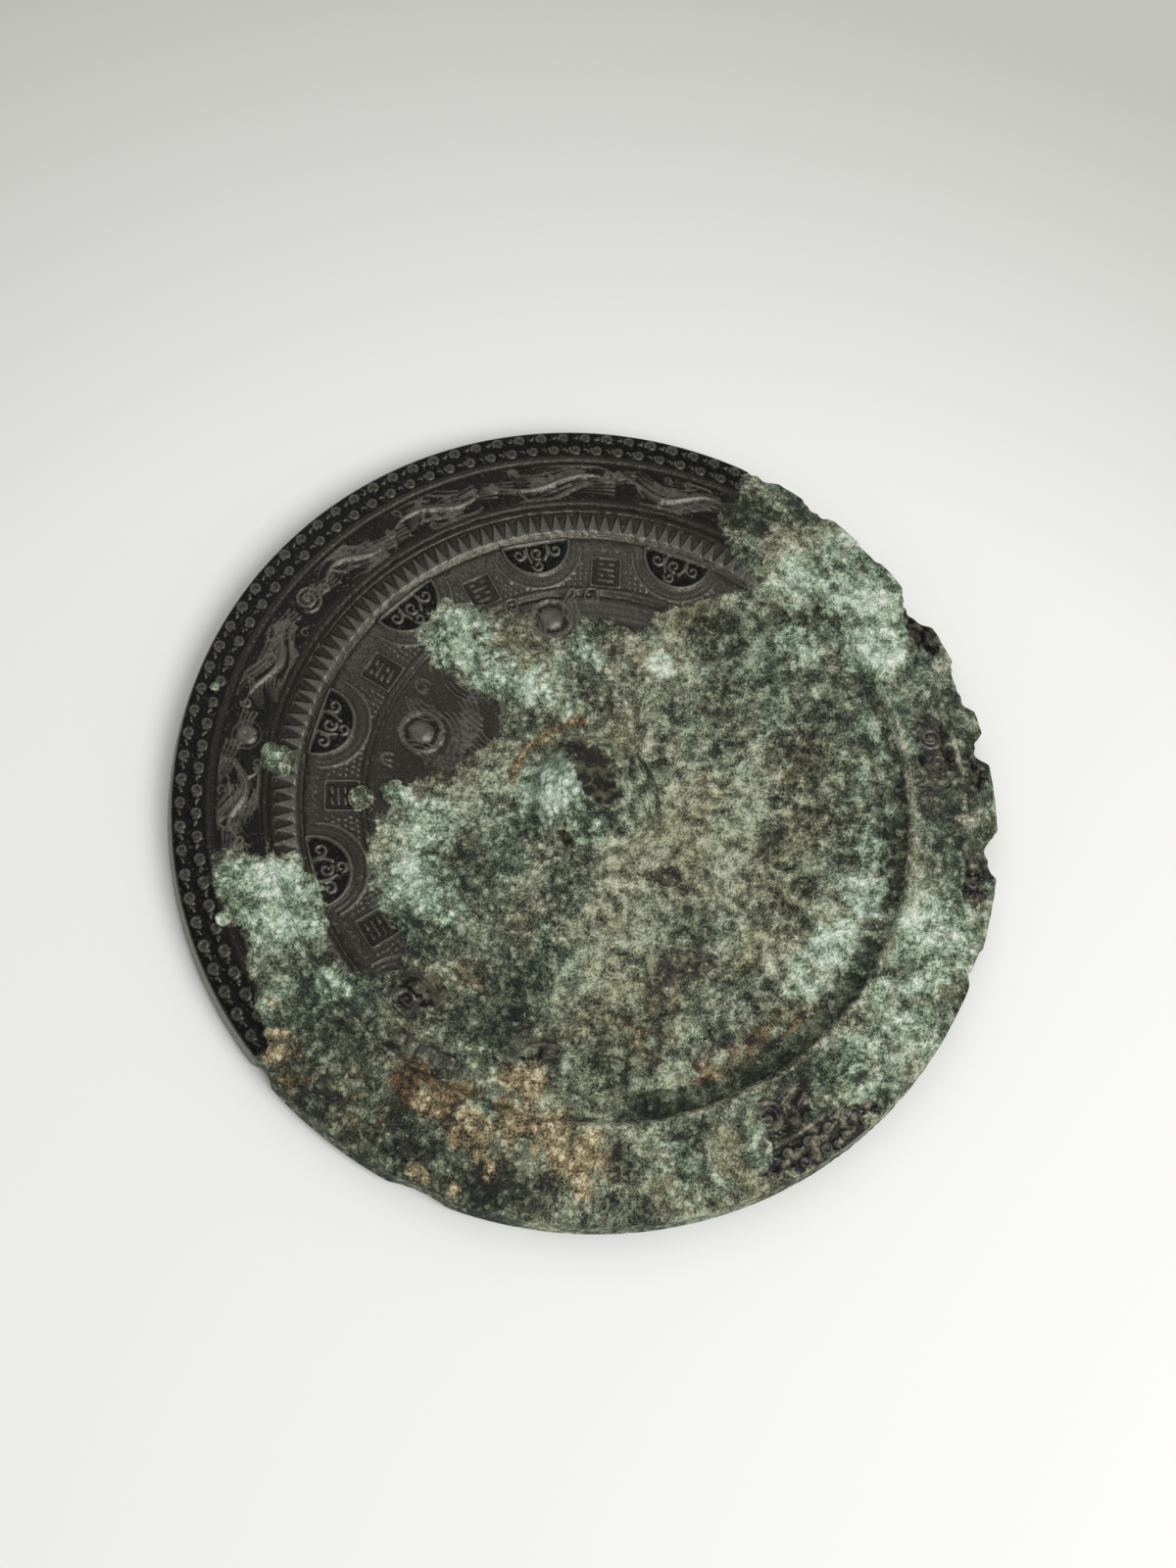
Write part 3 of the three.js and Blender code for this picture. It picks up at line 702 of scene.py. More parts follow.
def edgeRadius(angle):  # the worn outline
    depth = np.zeros(angle.shape)
    for middleAngle, halfWidth, most in rimBites:
        away = np.abs((angle - middleAngle + 540) % 360 - 180) / halfWidth
        depth = np.maximum(depth, most * np.clip(1 - away ** 2, 0, 1))
    turn = np.radians(angle)
    ragged = 0.35 * (1 - smoothStep(60, 75, np.abs((angle - 10 + 540) % 360 - 180)))  # more at the right
    crumbs = ripple(60 * np.cos(turn), 60 * np.sin(turn), 2.2) * (0.08 + ragged)
    return castForm["faceRadius"] - depth - np.abs(crumbs) * (0.4 + np.minimum(depth, 1))


# The blank: the turned form, closed above and below, with close rows where the bands are
form = castForm
slope = 0.14  # run of each small step's wall
profile = np.array([
    (form["fieldOuter"] - slope, form["fieldZ"]),
    (form["fieldOuter"], form["moonInnerZ"] + form["fieldLine"]),
    (form["moonInner"], form["moonInnerZ"] + form["fieldLine"]),
    (form["moonInner"] + slope, form["moonInnerZ"]),
    (form["moonOuter"] - slope, form["toothFootZ"]),
    (form["moonOuter"], form["toothFootZ"] - form["grooveDepth"]),
    (form["toothInner"] - slope, form["toothFootZ"] - form["grooveDepth"]),
    (form["toothInner"], form["toothFootZ"]),
    (form["stepFoot"], form["toothTopZ"]),
    (form["stepTop"], form["rimLineZ"]),
    (form["pictureInner"], form["rimLineZ"]),
    (form["pictureInner"] + slope, form["pictureZ"]),
    (form["rimLineInner"] - slope, form["pictureZ"]),
    (form["rimLineInner"], form["rimLineZ"]),
    (form["rimLineOuter"], form["rimLineZ"]),
    (form["rimLineOuter"] + slope, form["bevelTopZ"]),
    (form["rimRadius"] - 0.3, form["rimEdgeZ"] + 0.04),
    (form["rimRadius"], form["rimEdgeZ"] - 0.2),
])
fieldRows = np.arange(form["fieldStep"], form["fieldOuter"] - 1, form["fieldStep"])
knobRows = np.arange(9.2, form["knobRadius"] + 0.3, 0.15)
bandRows = np.concatenate([np.arange(form["fieldOuter"] - 1, form["rimLineOuter"], form["bandStep"]),
                           np.arange(form["rimLineOuter"], form["rimRadius"], form["bevelStep"])])
topRadii = np.unique(np.round(np.concatenate([fieldRows, knobRows, bandRows, profile[:, 0]]), 3))
topZ = np.interp(topRadii, profile[:, 0], profile[:, 1])
onKnob = topRadii < form["knobRadius"]
knobLift = 0.4 + (form["knobHeight"] - 0.4) * np.sqrt(np.clip(1 - (topRadii / form["knobRadius"]) ** 2, 0, 1))
topZ = np.where(onKnob, form["fieldZ"] + knobLift, topZ)
wallRows = np.array([(67.7, 5.1), (67.95, 4.1), (68.2, 3.1), (68.42, 2.3), (68.5, 2.12), (68.35, 2.0)])
faceRadii = np.array([67, 64, 58, 52, 46, 40, 34, 28, 22, 18, 14.0, 7.0])
faceReach = form["faceRadius"] - form["restSpotRadius"]
faceShare = np.clip(faceRadii - form["restSpotRadius"], 0, None) / faceReach
rowRadii = np.concatenate([topRadii, wallRows[:, 0], faceRadii])
rowZ = np.concatenate([topZ, wallRows[:, 1], form["faceSag"] * faceShare ** 2])
columnAngles = [0.0]
while columnAngles[-1] < 360:
    last = columnAngles[-1]
    fine = any(low <= last + turn <= high for low, high in form["fineSectors"] for turn in (0, 360))
    columnAngles.append(last + (form["fineStep"] if fine else form["coarseStep"]))
angles = np.array(columnAngles[:-1])
columns = len(angles)
edge = edgeRadius(angles)
wallLean = (form["faceRadius"] - form["rimRadius"]) * np.clip((rowZ[:, None] - 2.2) / 3.5, 0, 1) * 0.6
gridR = np.minimum(rowRadii[:, None], edge[None, :] - wallLean)
gridX = gridR * np.cos(np.radians(angles))[None, :]
gridY = gridR * np.sin(np.radians(angles))[None, :]
gridZ = np.repeat(rowZ[:, None], columns, 1)
hiddenGrid = crustShare(gridX, gridY)
evenRadii = np.arange(0, 70, 0.1)  # under the crust the turned form is filled and rounded
near = np.arange(-12, 13) * 0.1
weights = np.exp(-(near / 0.5) ** 2)
evenZ = np.pad(np.interp(evenRadii, topRadii, topZ), 12, mode="edge")
softZ = np.interp(topRadii, evenRadii, np.convolve(evenZ, weights / weights.sum(), mode="valid"))
tops = len(topRadii)
gridZ[:tops] += 0.9 * hiddenGrid[:tops] * (softZ - topZ)[:, None]
points = np.stack([gridX.ravel(), gridY.ravel(), gridZ.ravel()], 1)
poles = [[0, 0, form["fieldZ"] + form["knobHeight"]], [0, 0, 0]]
points = np.concatenate([points, poles])
rows = len(rowRadii)
index = np.arange(rows * columns).reshape(rows, columns)
after = np.roll(index, -1, 1)
quads = np.stack([index[:-1], index[1:], after[1:], after[:-1]], 2).reshape(-1, 4)
topPole, facePole = rows * columns, rows * columns + 1
faces = quads.tolist()
faces += [[topPole, int(a), int(b)] for a, b in zip(index[0], after[0])]
faces += [[facePole, int(b), int(a)] for a, b in zip(index[-1], after[-1])]
blankMesh = bpy.data.meshes.new("blank")
blankMesh.from_pydata((points * mm).tolist(), [], faces)
isTop = np.zeros(len(points))
isTop[:tops * columns] = 1
isTop[topPole] = 1
hidden = np.append(hiddenGrid.ravel(), [0.0, 0.0])
pointX, pointY = points[:, 0], points[:, 1]
pointRadius = np.hypot(pointX, pointY)
showsThrough = (pointRadius > 36) & (pointY < -20) & (pointX < 30)
buried = np.where(showsThrough, 0.4, 0.72)  # how much of the relief the crust fills
lumpHeight = np.zeros(len(points))
for cx, cy, radius, height in lumps:
    far = np.hypot(pointX - cx, pointY - cy) / radius + 0.08 * ripple(pointX, pointY, 2.5)
    lumpHeight = np.maximum(lumpHeight, height * np.sqrt(np.clip(1 - far ** 2, 0, 1)))
blankValues = {
    "pressed": isTop * (1 - buried * hidden),
    "lump": isTop * lumpHeight,
    "crust": isTop * hidden * smoothStep(-8, 10, pointRadius),  # thinner towards the top of the knob
}
for name, values in blankValues.items():
    blankMesh.attributes.new(name, "FLOAT", "POINT").data.foreach_set("value", values.astype(np.float32))
blankObject = bpy.data.objects.new("blank", blankMesh)
scene.collection.objects.link(blankObject)
print("blank:", len(points), "points")

# Relief: the stamps are pressed into the back, and the crust grows over it
reliefTree, given = newShapeTree("reliefAndCrust", [
    ("Stamps", "Object", None), ("Softness", "Int", 1), ("Crust height", "Float", 0.5 * mm),
    ("Lump size", "Float", 3.2 * mm), ("Grain size", "Float", 1.9 * mm), ("Seed", "Float", 3.0),
    ("Material", "Material", None),
])
here = addNode(reliefTree, "GeometryNodeInputPosition").outputs[0]
flat = addNode(reliefTree, "ShaderNodeVectorMath", {"operation": "MULTIPLY"}, {
    0: here, 1: (1, 1, 0),
}).outputs[0]
above = addNode(reliefTree, "ShaderNodeVectorMath", {"operation": "ADD"}, {
    0: flat, 1: (0, 0, 0.05),
}).outputs[0]
stampShape = addNode(reliefTree, "GeometryNodeObjectInfo", inputs={
    "Object": given["Stamps"],
}).outputs["Geometry"]
ray = addNode(reliefTree, "GeometryNodeRaycast", inputs={
    "Target Geometry": stampShape, "Source Position": above, "Ray Direction": (0, 0, -1), "Ray Length": 0.05,
})
hitHeight = addNode(reliefTree, "ShaderNodeSeparateXYZ", inputs={
    0: ray.outputs["Hit Position"],
}).outputs["Z"]
lift = addNode(reliefTree, "ShaderNodeMath", {"operation": "MULTIPLY"}, {
    0: hitHeight, 1: ray.outputs["Is Hit"],
}).outputs[0]
soft = addNode(reliefTree, "GeometryNodeBlurAttribute", {"data_type": "FLOAT"}, {
    "Value": lift, "Iterations": given["Softness"], "Weight": 0.5,
}).outputs[0]
pressedIn = addNode(reliefTree, "GeometryNodeInputNamedAttribute", {"data_type": "FLOAT"}, {
    "Name": "pressed",
}).outputs[0]
relief = addNode(reliefTree, "ShaderNodeMath", {"operation": "MULTIPLY"}, {
    0: soft, 1: pressedIn,
}).outputs[0]
crustValue = addNode(reliefTree, "GeometryNodeInputNamedAttribute", {"data_type": "FLOAT"}, {
    "Name": "crust",
}).outputs[0]
lumpValue = addNode(reliefTree, "GeometryNodeInputNamedAttribute", {"data_type": "FLOAT"}, {
    "Name": "lump",
}).outputs[0]
lumpScale = addNode(reliefTree, "ShaderNodeMath", {"operation": "DIVIDE"}, {
    0: 1.0, 1: given["Lump size"],
}).outputs[0]
grainScale = addNode(reliefTree, "ShaderNodeMath", {"operation": "DIVIDE"}, {
    0: 1.0, 1: given["Grain size"],
}).outputs[0]
broad = addNode(reliefTree, "ShaderNodeTexNoise", {"noise_dimensions": "4D"}, {
    "Vector": flat, "W": given["Seed"], "Scale": lumpScale, "Detail": 1.2, "Roughness": 0.5,
}).outputs[0]
grain = addNode(reliefTree, "ShaderNodeTexVoronoi", {"feature": "SMOOTH_F1"}, {
    "Vector": flat, "Scale": grainScale, "Smoothness": 0.6, "Randomness": 1.0,
}).outputs["Distance"]
rough = addNode(reliefTree, "ShaderNodeMath", {"operation": "MULTIPLY_ADD"}, {
    0: grain, 1: -0.45, 2: broad,
}).outputs[0]
roughUp = addNode(reliefTree, "ShaderNodeMath", {"operation": "ADD"}, {0: rough, 1: 0.18}).outputs[0]
crustLift = addNode(reliefTree, "ShaderNodeMath", {"operation": "MULTIPLY"}, {
    0: roughUp, 1: given["Crust height"],
}).outputs[0]
crustHeight = addNode(reliefTree, "ShaderNodeMath", {"operation": "MULTIPLY"}, {
    0: crustLift, 1: crustValue,
}).outputs[0]
lumpLift = addNode(reliefTree, "ShaderNodeMath", {"operation": "MULTIPLY"}, {
    0: lumpValue, 1: mm,
}).outputs[0]
doubled = addNode(reliefTree, "ShaderNodeMath", {"operation": "MULTIPLY"}, {
    0: crustHeight, 1: 2.0,
}).outputs[0]
grown = addNode(reliefTree, "ShaderNodeMath", {"operation": "ADD"}, {0: doubled, 1: lumpLift}).outputs[0]
total = addNode(reliefTree, "ShaderNodeMath", {"operation": "ADD"}, {0: relief, 1: grown}).outputs[0]
upwards = addNode(reliefTree, "ShaderNodeCombineXYZ", inputs={"Z": total}).outputs[0]
moved = addNode(reliefTree, "GeometryNodeSetPosition", inputs={
    "Geometry": given["Geometry"], "Offset": upwards,
}).outputs[0]
kept = addNode(reliefTree, "GeometryNodeStoreNamedAttribute", {"data_type": "FLOAT", "domain": "POINT"}, {
    "Geometry": moved, "Name": "lift", "Value": soft,
}).outputs[0]
endShapeTree(reliefTree, kept, given["Material"])
dressed = meshThrough(blankObject, reliefTree, {"Stamps": stampObject}, "dressed")
for used in (blankObject, stampObject):
    bpy.data.objects.remove(used)
print("relief pressed")

# Thinned to what a piece may hold, then the cord hole is cut through the knob
thin = dressed.modifiers.new("thin", "DECIMATE")
thin.ratio = form["trianglesKept"] / (2 * len(quads) + 2 * columns)
cordHole = {
    "width": 3.6,
    "middleZ": 5.55,
    "turn": 54,
    "length": 26.0,
}
bpy.ops.mesh.primitive_cylinder_add(
    vertices=24, radius=cordHole["width"] / 2 * mm, depth=cordHole["length"] * mm)
bar = bpy.context.object
barTurn = Matrix.Rotation(math.radians(cordHole["turn"]), 4, "Z") @ Matrix.Rotation(math.pi / 2, 4, "Y")
bar.data.transform(Matrix.Translation((0, 0, cordHole["middleZ"] * mm)) @ barTurn)
cut = dressed.modifiers.new("cordHole", "BOOLEAN")
cut.object = bar
cut.operation = "DIFFERENCE"
cut.solver = "MANIFOLD"
seen = dressed.evaluated_get(bpy.context.evaluated_depsgraph_get())
casting = bpy.data.objects.new("mirrorCasting", bpy.data.meshes.new_from_object(seen))
scene.collection.objects.link(casting)
bpy.data.objects.remove(dressed)
bpy.data.objects.remove(bar)
casting.data.shade_smooth()
print("casting:", sum(len(p.vertices) - 2 for p in casting.data.polygons), "triangles")

# Finish masks on the final mesh
spots = np.zeros(len(casting.data.vertices) * 3)
casting.data.vertices.foreach_get("co", spots)
spots = spots.reshape(-1, 3) / mm
x, y = spots[:, 0], spots[:, 1]
radius = np.hypot(x, y)
angle = np.degrees(np.arctan2(y, x)) % 360
normals = np.zeros(len(spots) * 3)
casting.data.vertices.foreach_get("normal", normals)
up = normals.reshape(-1, 3)[:, 2]
back = smoothStep(-0.5, 0.1, up)


def setMask(name, values):
    mask = casting.data.attributes.get(name) or casting.data.attributes.new(name, "FLOAT", "POINT")
    mask.data.foreach_set("value", np.asarray(values, np.float32))


setMask("crust", back * crustShare(x, y) + (1 - back) * smoothStep(0.25, 0.6, ripple(x, y, 16)))
for kind, places in corrosion.items():
    shifted = x + 0.8 * ripple(x, y, 3), y + 0.8 * ripple(y, x, 3)
    # the ring bands carry painted shade into the dark mask and a painted highlight into the cream mask
    bands = ringBands(radius + 0.25 * ripple(x, y, 4), angle, ringMarksAndPaintedLight.get(kind, []))
    setMask(kind, back * np.maximum(blobs(*shifted, places), bands))
lumpy = 0.25 + 0.75 * (1 - smoothStep(-6, 16, x - 0.3 * y)) + 0.5 * smoothStep(48, 52, radius)
setMask("nodular", back * np.clip(lumpy, 0, 1))
setMask("dusty", back * smoothStep(-1, 3, insideDistance(x, y, crustOutline)))
moonGap = np.full(x.shape, 99.0)
for a in moonAngles:
    moonX = halfMoon["flatRadius"] * math.cos(math.radians(a))
    moonY = halfMoon["flatRadius"] * math.sin(math.radians(a))
    moonGap = np.minimum(moonGap, np.hypot(x - moonX, y - moonY))
inMoons = (1 - smoothStep(5.6, 6.1, moonGap)) * (1 - smoothStep(46.9, 47.2, radius))
onBevel = smoothStep(62.3, 62.6, radius)
inTeeth = smoothStep(48.9, 49.2, radius) * (1 - smoothStep(51.9, 52.2, radius)) * 0.4
inPictures = smoothStep(53.6, 53.9, radius) * (1 - smoothStep(61.0, 61.3, radius)) * 0.75
sealGap = np.full(x.shape, 99.0)
for a in sealAngles:
    c, s = math.cos(math.radians(a)), math.sin(math.radians(a))
    outward, aside = x * c + y * s - sealBlock["middleRadius"], y * c - x * s
    sealGap = np.minimum(sealGap, np.maximum(np.abs(outward) - sideX, np.abs(aside) - sideY))
inSeals = (1 - smoothStep(-0.1, 0.2, sealGap)) * 0.6
nippleGap = np.full(x.shape, 99.0)
for far, a in ringNipple["places"]:
    nippleX, nippleY = far * math.cos(math.radians(a)), far * math.sin(math.radians(a))
    nippleGap = np.minimum(nippleGap, np.hypot(x - nippleX, y - nippleY))
inNipples = (1 - smoothStep(2.7, 3.2, nippleGap)) * 0.6
darkGrounds = [onBevel, inMoons, inTeeth, inPictures, inSeals, inNipples]
setMask("blackGround", back * np.maximum.reduce(darkGrounds))
ringWear = np.where(radius > 62.2, 0.8, 0.95)
sideWear = np.interp(angle, [0, 60, 75, 205, 222, 300, 360], [0.6, 0.8, 1, 1, 0.45, 0.45, 0.6])
setMask("ridgeWear", ringWear * sideWear)
ringPale = np.interp(radius, [0, 12, 30, 37, 39, 44, 46.5, 47.2, 48.2, 50, 52, 53, 57, 62, 63],
                     [0.15, 0.3, 0.35, 0.5, 0.6, 0.65, 0.75, 0.9, 0.9, 0.8, 0.4, 0.25, 0.3, 0.3, 0.0])
sidePale = np.interp(angle, [0, 55, 70, 100, 140, 165, 200, 230, 300, 360],
                     [0.5, 0.8, 1, 1, 0.8, 0.55, 0.45, 0.4, 0.5, 0.5])
setMask("paleMetal", ringPale * sidePale)
# the disc's side wall is painted pale grey: partly the bronze's grey, partly a painted sheen
setMask("edgeWallSheen", (1 - smoothStep(0.35, 0.75, np.abs(up))) * smoothStep(67.0, 67.4, radius))
print("finish masks set")


# Cast high-tin bronze with a black, glossy burial patina under a granular green carbonate crust.
# Satin where bare, with light catching the ridges. Dull and nodular where crusted.
finish = {
    "blackGround": "#050504",
    "darkMetal": "#161614",
    "paleMetal": "#5e5a50",
    "ridge": "#5f5e56",
    "dust": "#66614f",
    # pale grey of the side wall, partly a painted sheen
    "edgeWallSheen": "#85847a",
    "green": ["#1b2017", "#757b64", "#c5cbaf"],      # hollows, middle and tops of each kind of crust
    "olive": ["#1f1e14", "#6a674d", "#aeaa87"],
    "teal": ["#1a221a", "#61705c", "#abbfa5"],
    "dark": ["#0b0f0a", "#2f3627", "#6c735c"],
    "rust": ["#1b140d", "#5a482f", "#a0845a"],
    "cream": ["#35362a", "#9a9b80", "#e2e1c6"],
    "mint": ["#424f3b", "#a9bfa1", "#f2f8ea"],
    "frost": ["#71866f", "#c3d6c2", "#f5fbf2"],
    "ochre": ["#2b2419", "#9c8c67", "#eadfba"],
    "grainSize": 0.36,       # single crystals, drawn coarser than the real 0.1 so that they show
    "clotSize": 1.9,         # clots of crystals
    "patchSize": 8.0,        # paler and deeper patches
    "hueSize": 11.0,         # browner and bluer patches
    "flakeSize": 1.1,        # ragged edge of the crust
    "clumpSize": 2.6,        # ragged edge between one kind and the next
    "speckSize": 0.5,        # specks of dust on the bare metal
    "noduleSize": 1.5,
    "seamWander": 1.1,       # how far the seams between nodules stray
    "ridgeStart": 0.06,      # height of relief that begins to shine
    "ridgeFull": 0.26,       # and that shines fully
    "bumpDepth": 0.5,
    "bareMetallic": 0.7,     # the patina dulls the metal
    "bareRoughness": 0.4,
    "crustRoughness": 0.88,
}
bronze = bpy.data.materials.new("buried cast bronze")
bronze.use_nodes = True
tree = bronze.node_tree
tree.nodes.clear()
coords = addNode(tree, "ShaderNodeTexCoord").outputs["Object"]
masks = {name: addNode(tree, "ShaderNodeAttribute", {"attribute_name": name}).outputs["Fac"] for name in (
    "lift", "crust", "nodular", "dusty", "blackGround", "ridgeWear", "paleMetal", "edgeWallSheen",
    "dark", "rust", "cream", "mint", "frost", "ochre")}

# Noise fields, each stretched to run from 0 to 1: [size, detail, low, high]
fields = {}
for name, (size, detail, low, high) in {
        "grains": (finish["grainSize"], 3.0, 0.34, 0.66), "clots": (finish["clotSize"], 3.0, 0.36, 0.64),
        "patches": (finish["patchSize"], 3.0, 0.38, 0.62), "hues": (finish["hueSize"], 3.0, 0.38, 0.62),
        "flakes": (finish["flakeSize"], 4.0, 0.32, 0.68), "clumps": (finish["clumpSize"], 3.0, 0.38, 0.62),
        "specks": (finish["speckSize"], 2.0, 0.62, 0.7)}.items():
    noise = addNode(tree, "ShaderNodeTexNoise", inputs={
        "Vector": coords, "Scale": 1 / (size * mm), "Detail": detail, "Roughness": 0.6,
    }).outputs[0]
    fields[name] = addNode(tree, "ShaderNodeMapRange", inputs={
        "Value": noise, "From Min": low, "From Max": high,
    }).outputs[0]

# Nodules: round tops with dark seams between them
wander = addNode(tree, "ShaderNodeTexNoise", inputs={
    "Vector": coords, "Scale": 1 / (1.2 * mm), "Detail": 2.0,
}).outputs[1]
bent = addNode(tree, "ShaderNodeVectorMath", {"operation": "MULTIPLY_ADD"}, {
    0: wander, 1: (finish["seamWander"] * mm, finish["seamWander"] * mm, 0), 2: coords,
}).outputs[0]
seams = addNode(tree, "ShaderNodeTexVoronoi", {"feature": "F1"}, {
    "Vector": bent, "Scale": 1 / (finish["noduleSize"] * mm), "Randomness": 1.0,
}).outputs["Distance"]
domes = addNode(tree, "ShaderNodeMapRange", {"interpolation_type": "SMOOTHSTEP"}, {
    "Value": seams, "From Min": 0.12, "From Max": 0.62, "To Min": 1.0, "To Max": 0.0,
}).outputs[0]
nodules = addNode(tree, "ShaderNodeMix", {"data_type": "FLOAT"}, {
    "Factor": masks["nodular"], 2: fields["clots"], 3: domes,
}).outputs[0]

# Tone, from hollow to top
tone = 0.0
toneParts = [(0.3, fields["patches"]), (0.22, fields["clots"]), (0.28, nodules), (0.38, fields["grains"])]
for share, part in toneParts:
    tone = addNode(tree, "ShaderNodeMath", {"operation": "MULTIPLY_ADD"}, {
        0: part, 1: share, 2: tone,
    }).outputs[0]
tone = addNode(tree, "ShaderNodeMapRange", inputs={
    "Value": tone, "From Min": 0.28, "From Max": 0.88,
}).outputs[0]
lowTone = addNode(tree, "ShaderNodeMapRange", inputs={"Value": tone, "From Max": 0.5}).outputs[0]
highTone = addNode(tree, "ShaderNodeMapRange", inputs={"Value": tone, "From Min": 0.5}).outputs[0]

# Where each kind lies: browner and bluer patches anywhere, and the marked kinds on top, with clumpy edges
shares = {
    "olive": addNode(tree, "ShaderNodeMapRange", inputs={
        "Value": fields["hues"], "From Min": 0.6, "From Max": 1.2}).outputs[0],
    "teal": addNode(tree, "ShaderNodeMapRange", inputs={
        "Value": fields["hues"], "From Min": 0.42, "From Max": -0.05}).outputs[0],
}
for kind in ("dark", "rust", "cream", "mint", "frost", "ochre"):
    clumpy = addNode(tree, "ShaderNodeMath", {"operation": "MULTIPLY_ADD"}, {
        0: fields["clumps"], 1: 0.6, 2: masks[kind],
    }).outputs[0]
    shares[kind] = addNode(tree, "ShaderNodeMapRange", inputs={
        "Value": clumpy, "From Min": 0.55, "From Max": 1.1,
    }).outputs[0]
crustColour = None
for kind in ("green", "olive", "teal", "dark", "rust", "cream", "mint", "frost", "ochre"):
    hollow, mid, top = [linearColour(shade) for shade in finish[kind]]
    lower = addNode(tree, "ShaderNodeMix", {"data_type": "RGBA"}, {
        "Factor": lowTone, 6: hollow, 7: mid,
    }).outputs[2]
    whole = addNode(tree, "ShaderNodeMix", {"data_type": "RGBA"}, {
        "Factor": highTone, 6: lower, 7: top,
    }).outputs[2]
    if crustColour is None:
        crustColour = whole
    else:
        crustColour = addNode(tree, "ShaderNodeMix", {"data_type": "RGBA"}, {
            "Factor": shares[kind], 6: crustColour, 7: whole,
        }).outputs[2]

# Bare metal: dust in the hollows, black enamel-like ground, worn ridges, and a grey edge wall that is partly
# a painted sheen
metalTone = addNode(tree, "ShaderNodeMath", {"operation": "MULTIPLY_ADD"}, {
    0: fields["grains"], 1: 0.9, 2: 0.35,
}).outputs[0]
paleShare = addNode(tree, "ShaderNodeMath", {"operation": "MULTIPLY", "use_clamp": True}, {
    0: masks["paleMetal"], 1: metalTone,
}).outputs[0]
dustClots = addNode(tree, "ShaderNodeMapRange", inputs={
    "Value": fields["clots"], "From Min": 0.45, "From Max": 1.0, "To Max": 0.75,
}).outputs[0]
dustShare = addNode(tree, "ShaderNodeMath", {"operation": "MULTIPLY"}, {
    0: dustClots, 1: masks["dusty"],
}).outputs[0]
ridgeLift = addNode(tree, "ShaderNodeMapRange", inputs={
    "Value": masks["lift"], "From Min": finish["ridgeStart"] * mm, "From Max": finish["ridgeFull"] * mm,
}).outputs[0]
ridgeTone = addNode(tree, "ShaderNodeMath", {"operation": "MULTIPLY_ADD"}, {
    0: fields["grains"], 1: 0.6, 2: 0.6,
}).outputs[0]
ridgeShare = addNode(tree, "ShaderNodeMath", {"operation": "MULTIPLY"}, {
    0: ridgeLift, 1: masks["ridgeWear"],
}).outputs[0]
ridgeShare = addNode(tree, "ShaderNodeMath", {"operation": "MULTIPLY", "use_clamp": True}, {
    0: ridgeShare, 1: ridgeTone,
}).outputs[0]
speckShare = addNode(tree, "ShaderNodeMath", {"operation": "MULTIPLY"}, {
    0: fields["specks"], 1: 0.5,
}).outputs[0]
edgeSheenShare = addNode(tree, "ShaderNodeMath", {"operation": "MULTIPLY"}, {
    0: masks["edgeWallSheen"], 1: metalTone,
}).outputs[0]
edgeSheenShare = addNode(tree, "ShaderNodeMath", {"operation": "MULTIPLY"}, {0: edgeSheenShare, 1: 0.7}).outputs[0]
metal = linearColour(finish["darkMetal"])
for share, name in ((paleShare, "paleMetal"), (masks["blackGround"], "blackGround"), (dustShare, "dust"),
                    (ridgeShare, "ridge"), (speckShare, "dust"), (edgeSheenShare, "edgeWallSheen")):
    metal = addNode(tree, "ShaderNodeMix", {"data_type": "RGBA"}, {
        "Factor": share, 6: metal, 7: linearColour(finish[name]),
    }).outputs[2]

# The crust ends in a ragged edge
flaked = addNode(tree, "ShaderNodeMath", {"operation": "MULTIPLY_ADD"}, {
    0: fields["flakes"], 1: 0.7, 2: masks["crust"],
}).outputs[0]
crusted = addNode(tree, "ShaderNodeMapRange", inputs={
    "Value": flaked, "From Min": 0.68, "From Max": 0.92,
}).outputs[0]
colour = addNode(tree, "ShaderNodeMix", {"data_type": "RGBA"}, {
    "Factor": crusted, 6: metal, 7: crustColour,
}).outputs[2]
roughness = addNode(tree, "ShaderNodeMapRange", inputs={
    "Value": crusted, "To Min": finish["bareRoughness"], "To Max": finish["crustRoughness"],
}).outputs[0]
metallic = addNode(tree, "ShaderNodeMapRange", inputs={
    "Value": crusted, "To Min": finish["bareMetallic"], "To Max": 0.0,
}).outputs[0]
swell = addNode(tree, "ShaderNodeMath", {"operation": "MULTIPLY_ADD"}, {
    0: nodules, 1: 1.3, 2: fields["clots"],
}).outputs[0]
bumpField = addNode(tree, "ShaderNodeMath", {"operation": "MULTIPLY_ADD"}, {
    0: fields["grains"], 1: 0.45, 2: swell,
}).outputs[0]
bumpShare = addNode(tree, "ShaderNodeMapRange", inputs={
    "Value": crusted, "To Min": 0.14, "To Max": 0.9,
}).outputs[0]
bump = addNode(tree, "ShaderNodeBump", inputs={
    "Strength": bumpShare, "Distance": finish["bumpDepth"] * mm, "Height": bumpField,
}).outputs[0]
surface = addNode(tree, "ShaderNodeBsdfPrincipled", inputs={
    "Base Color": colour, "Roughness": roughness, "Metallic": metallic, "Normal": bump,
})
addNode(tree, "ShaderNodeOutputMaterial", inputs={"Surface": surface.outputs[0]})
casting.data.materials.clear()
casting.data.materials.append(bronze)

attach(casting, "root")
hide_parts("bronze_mirror")


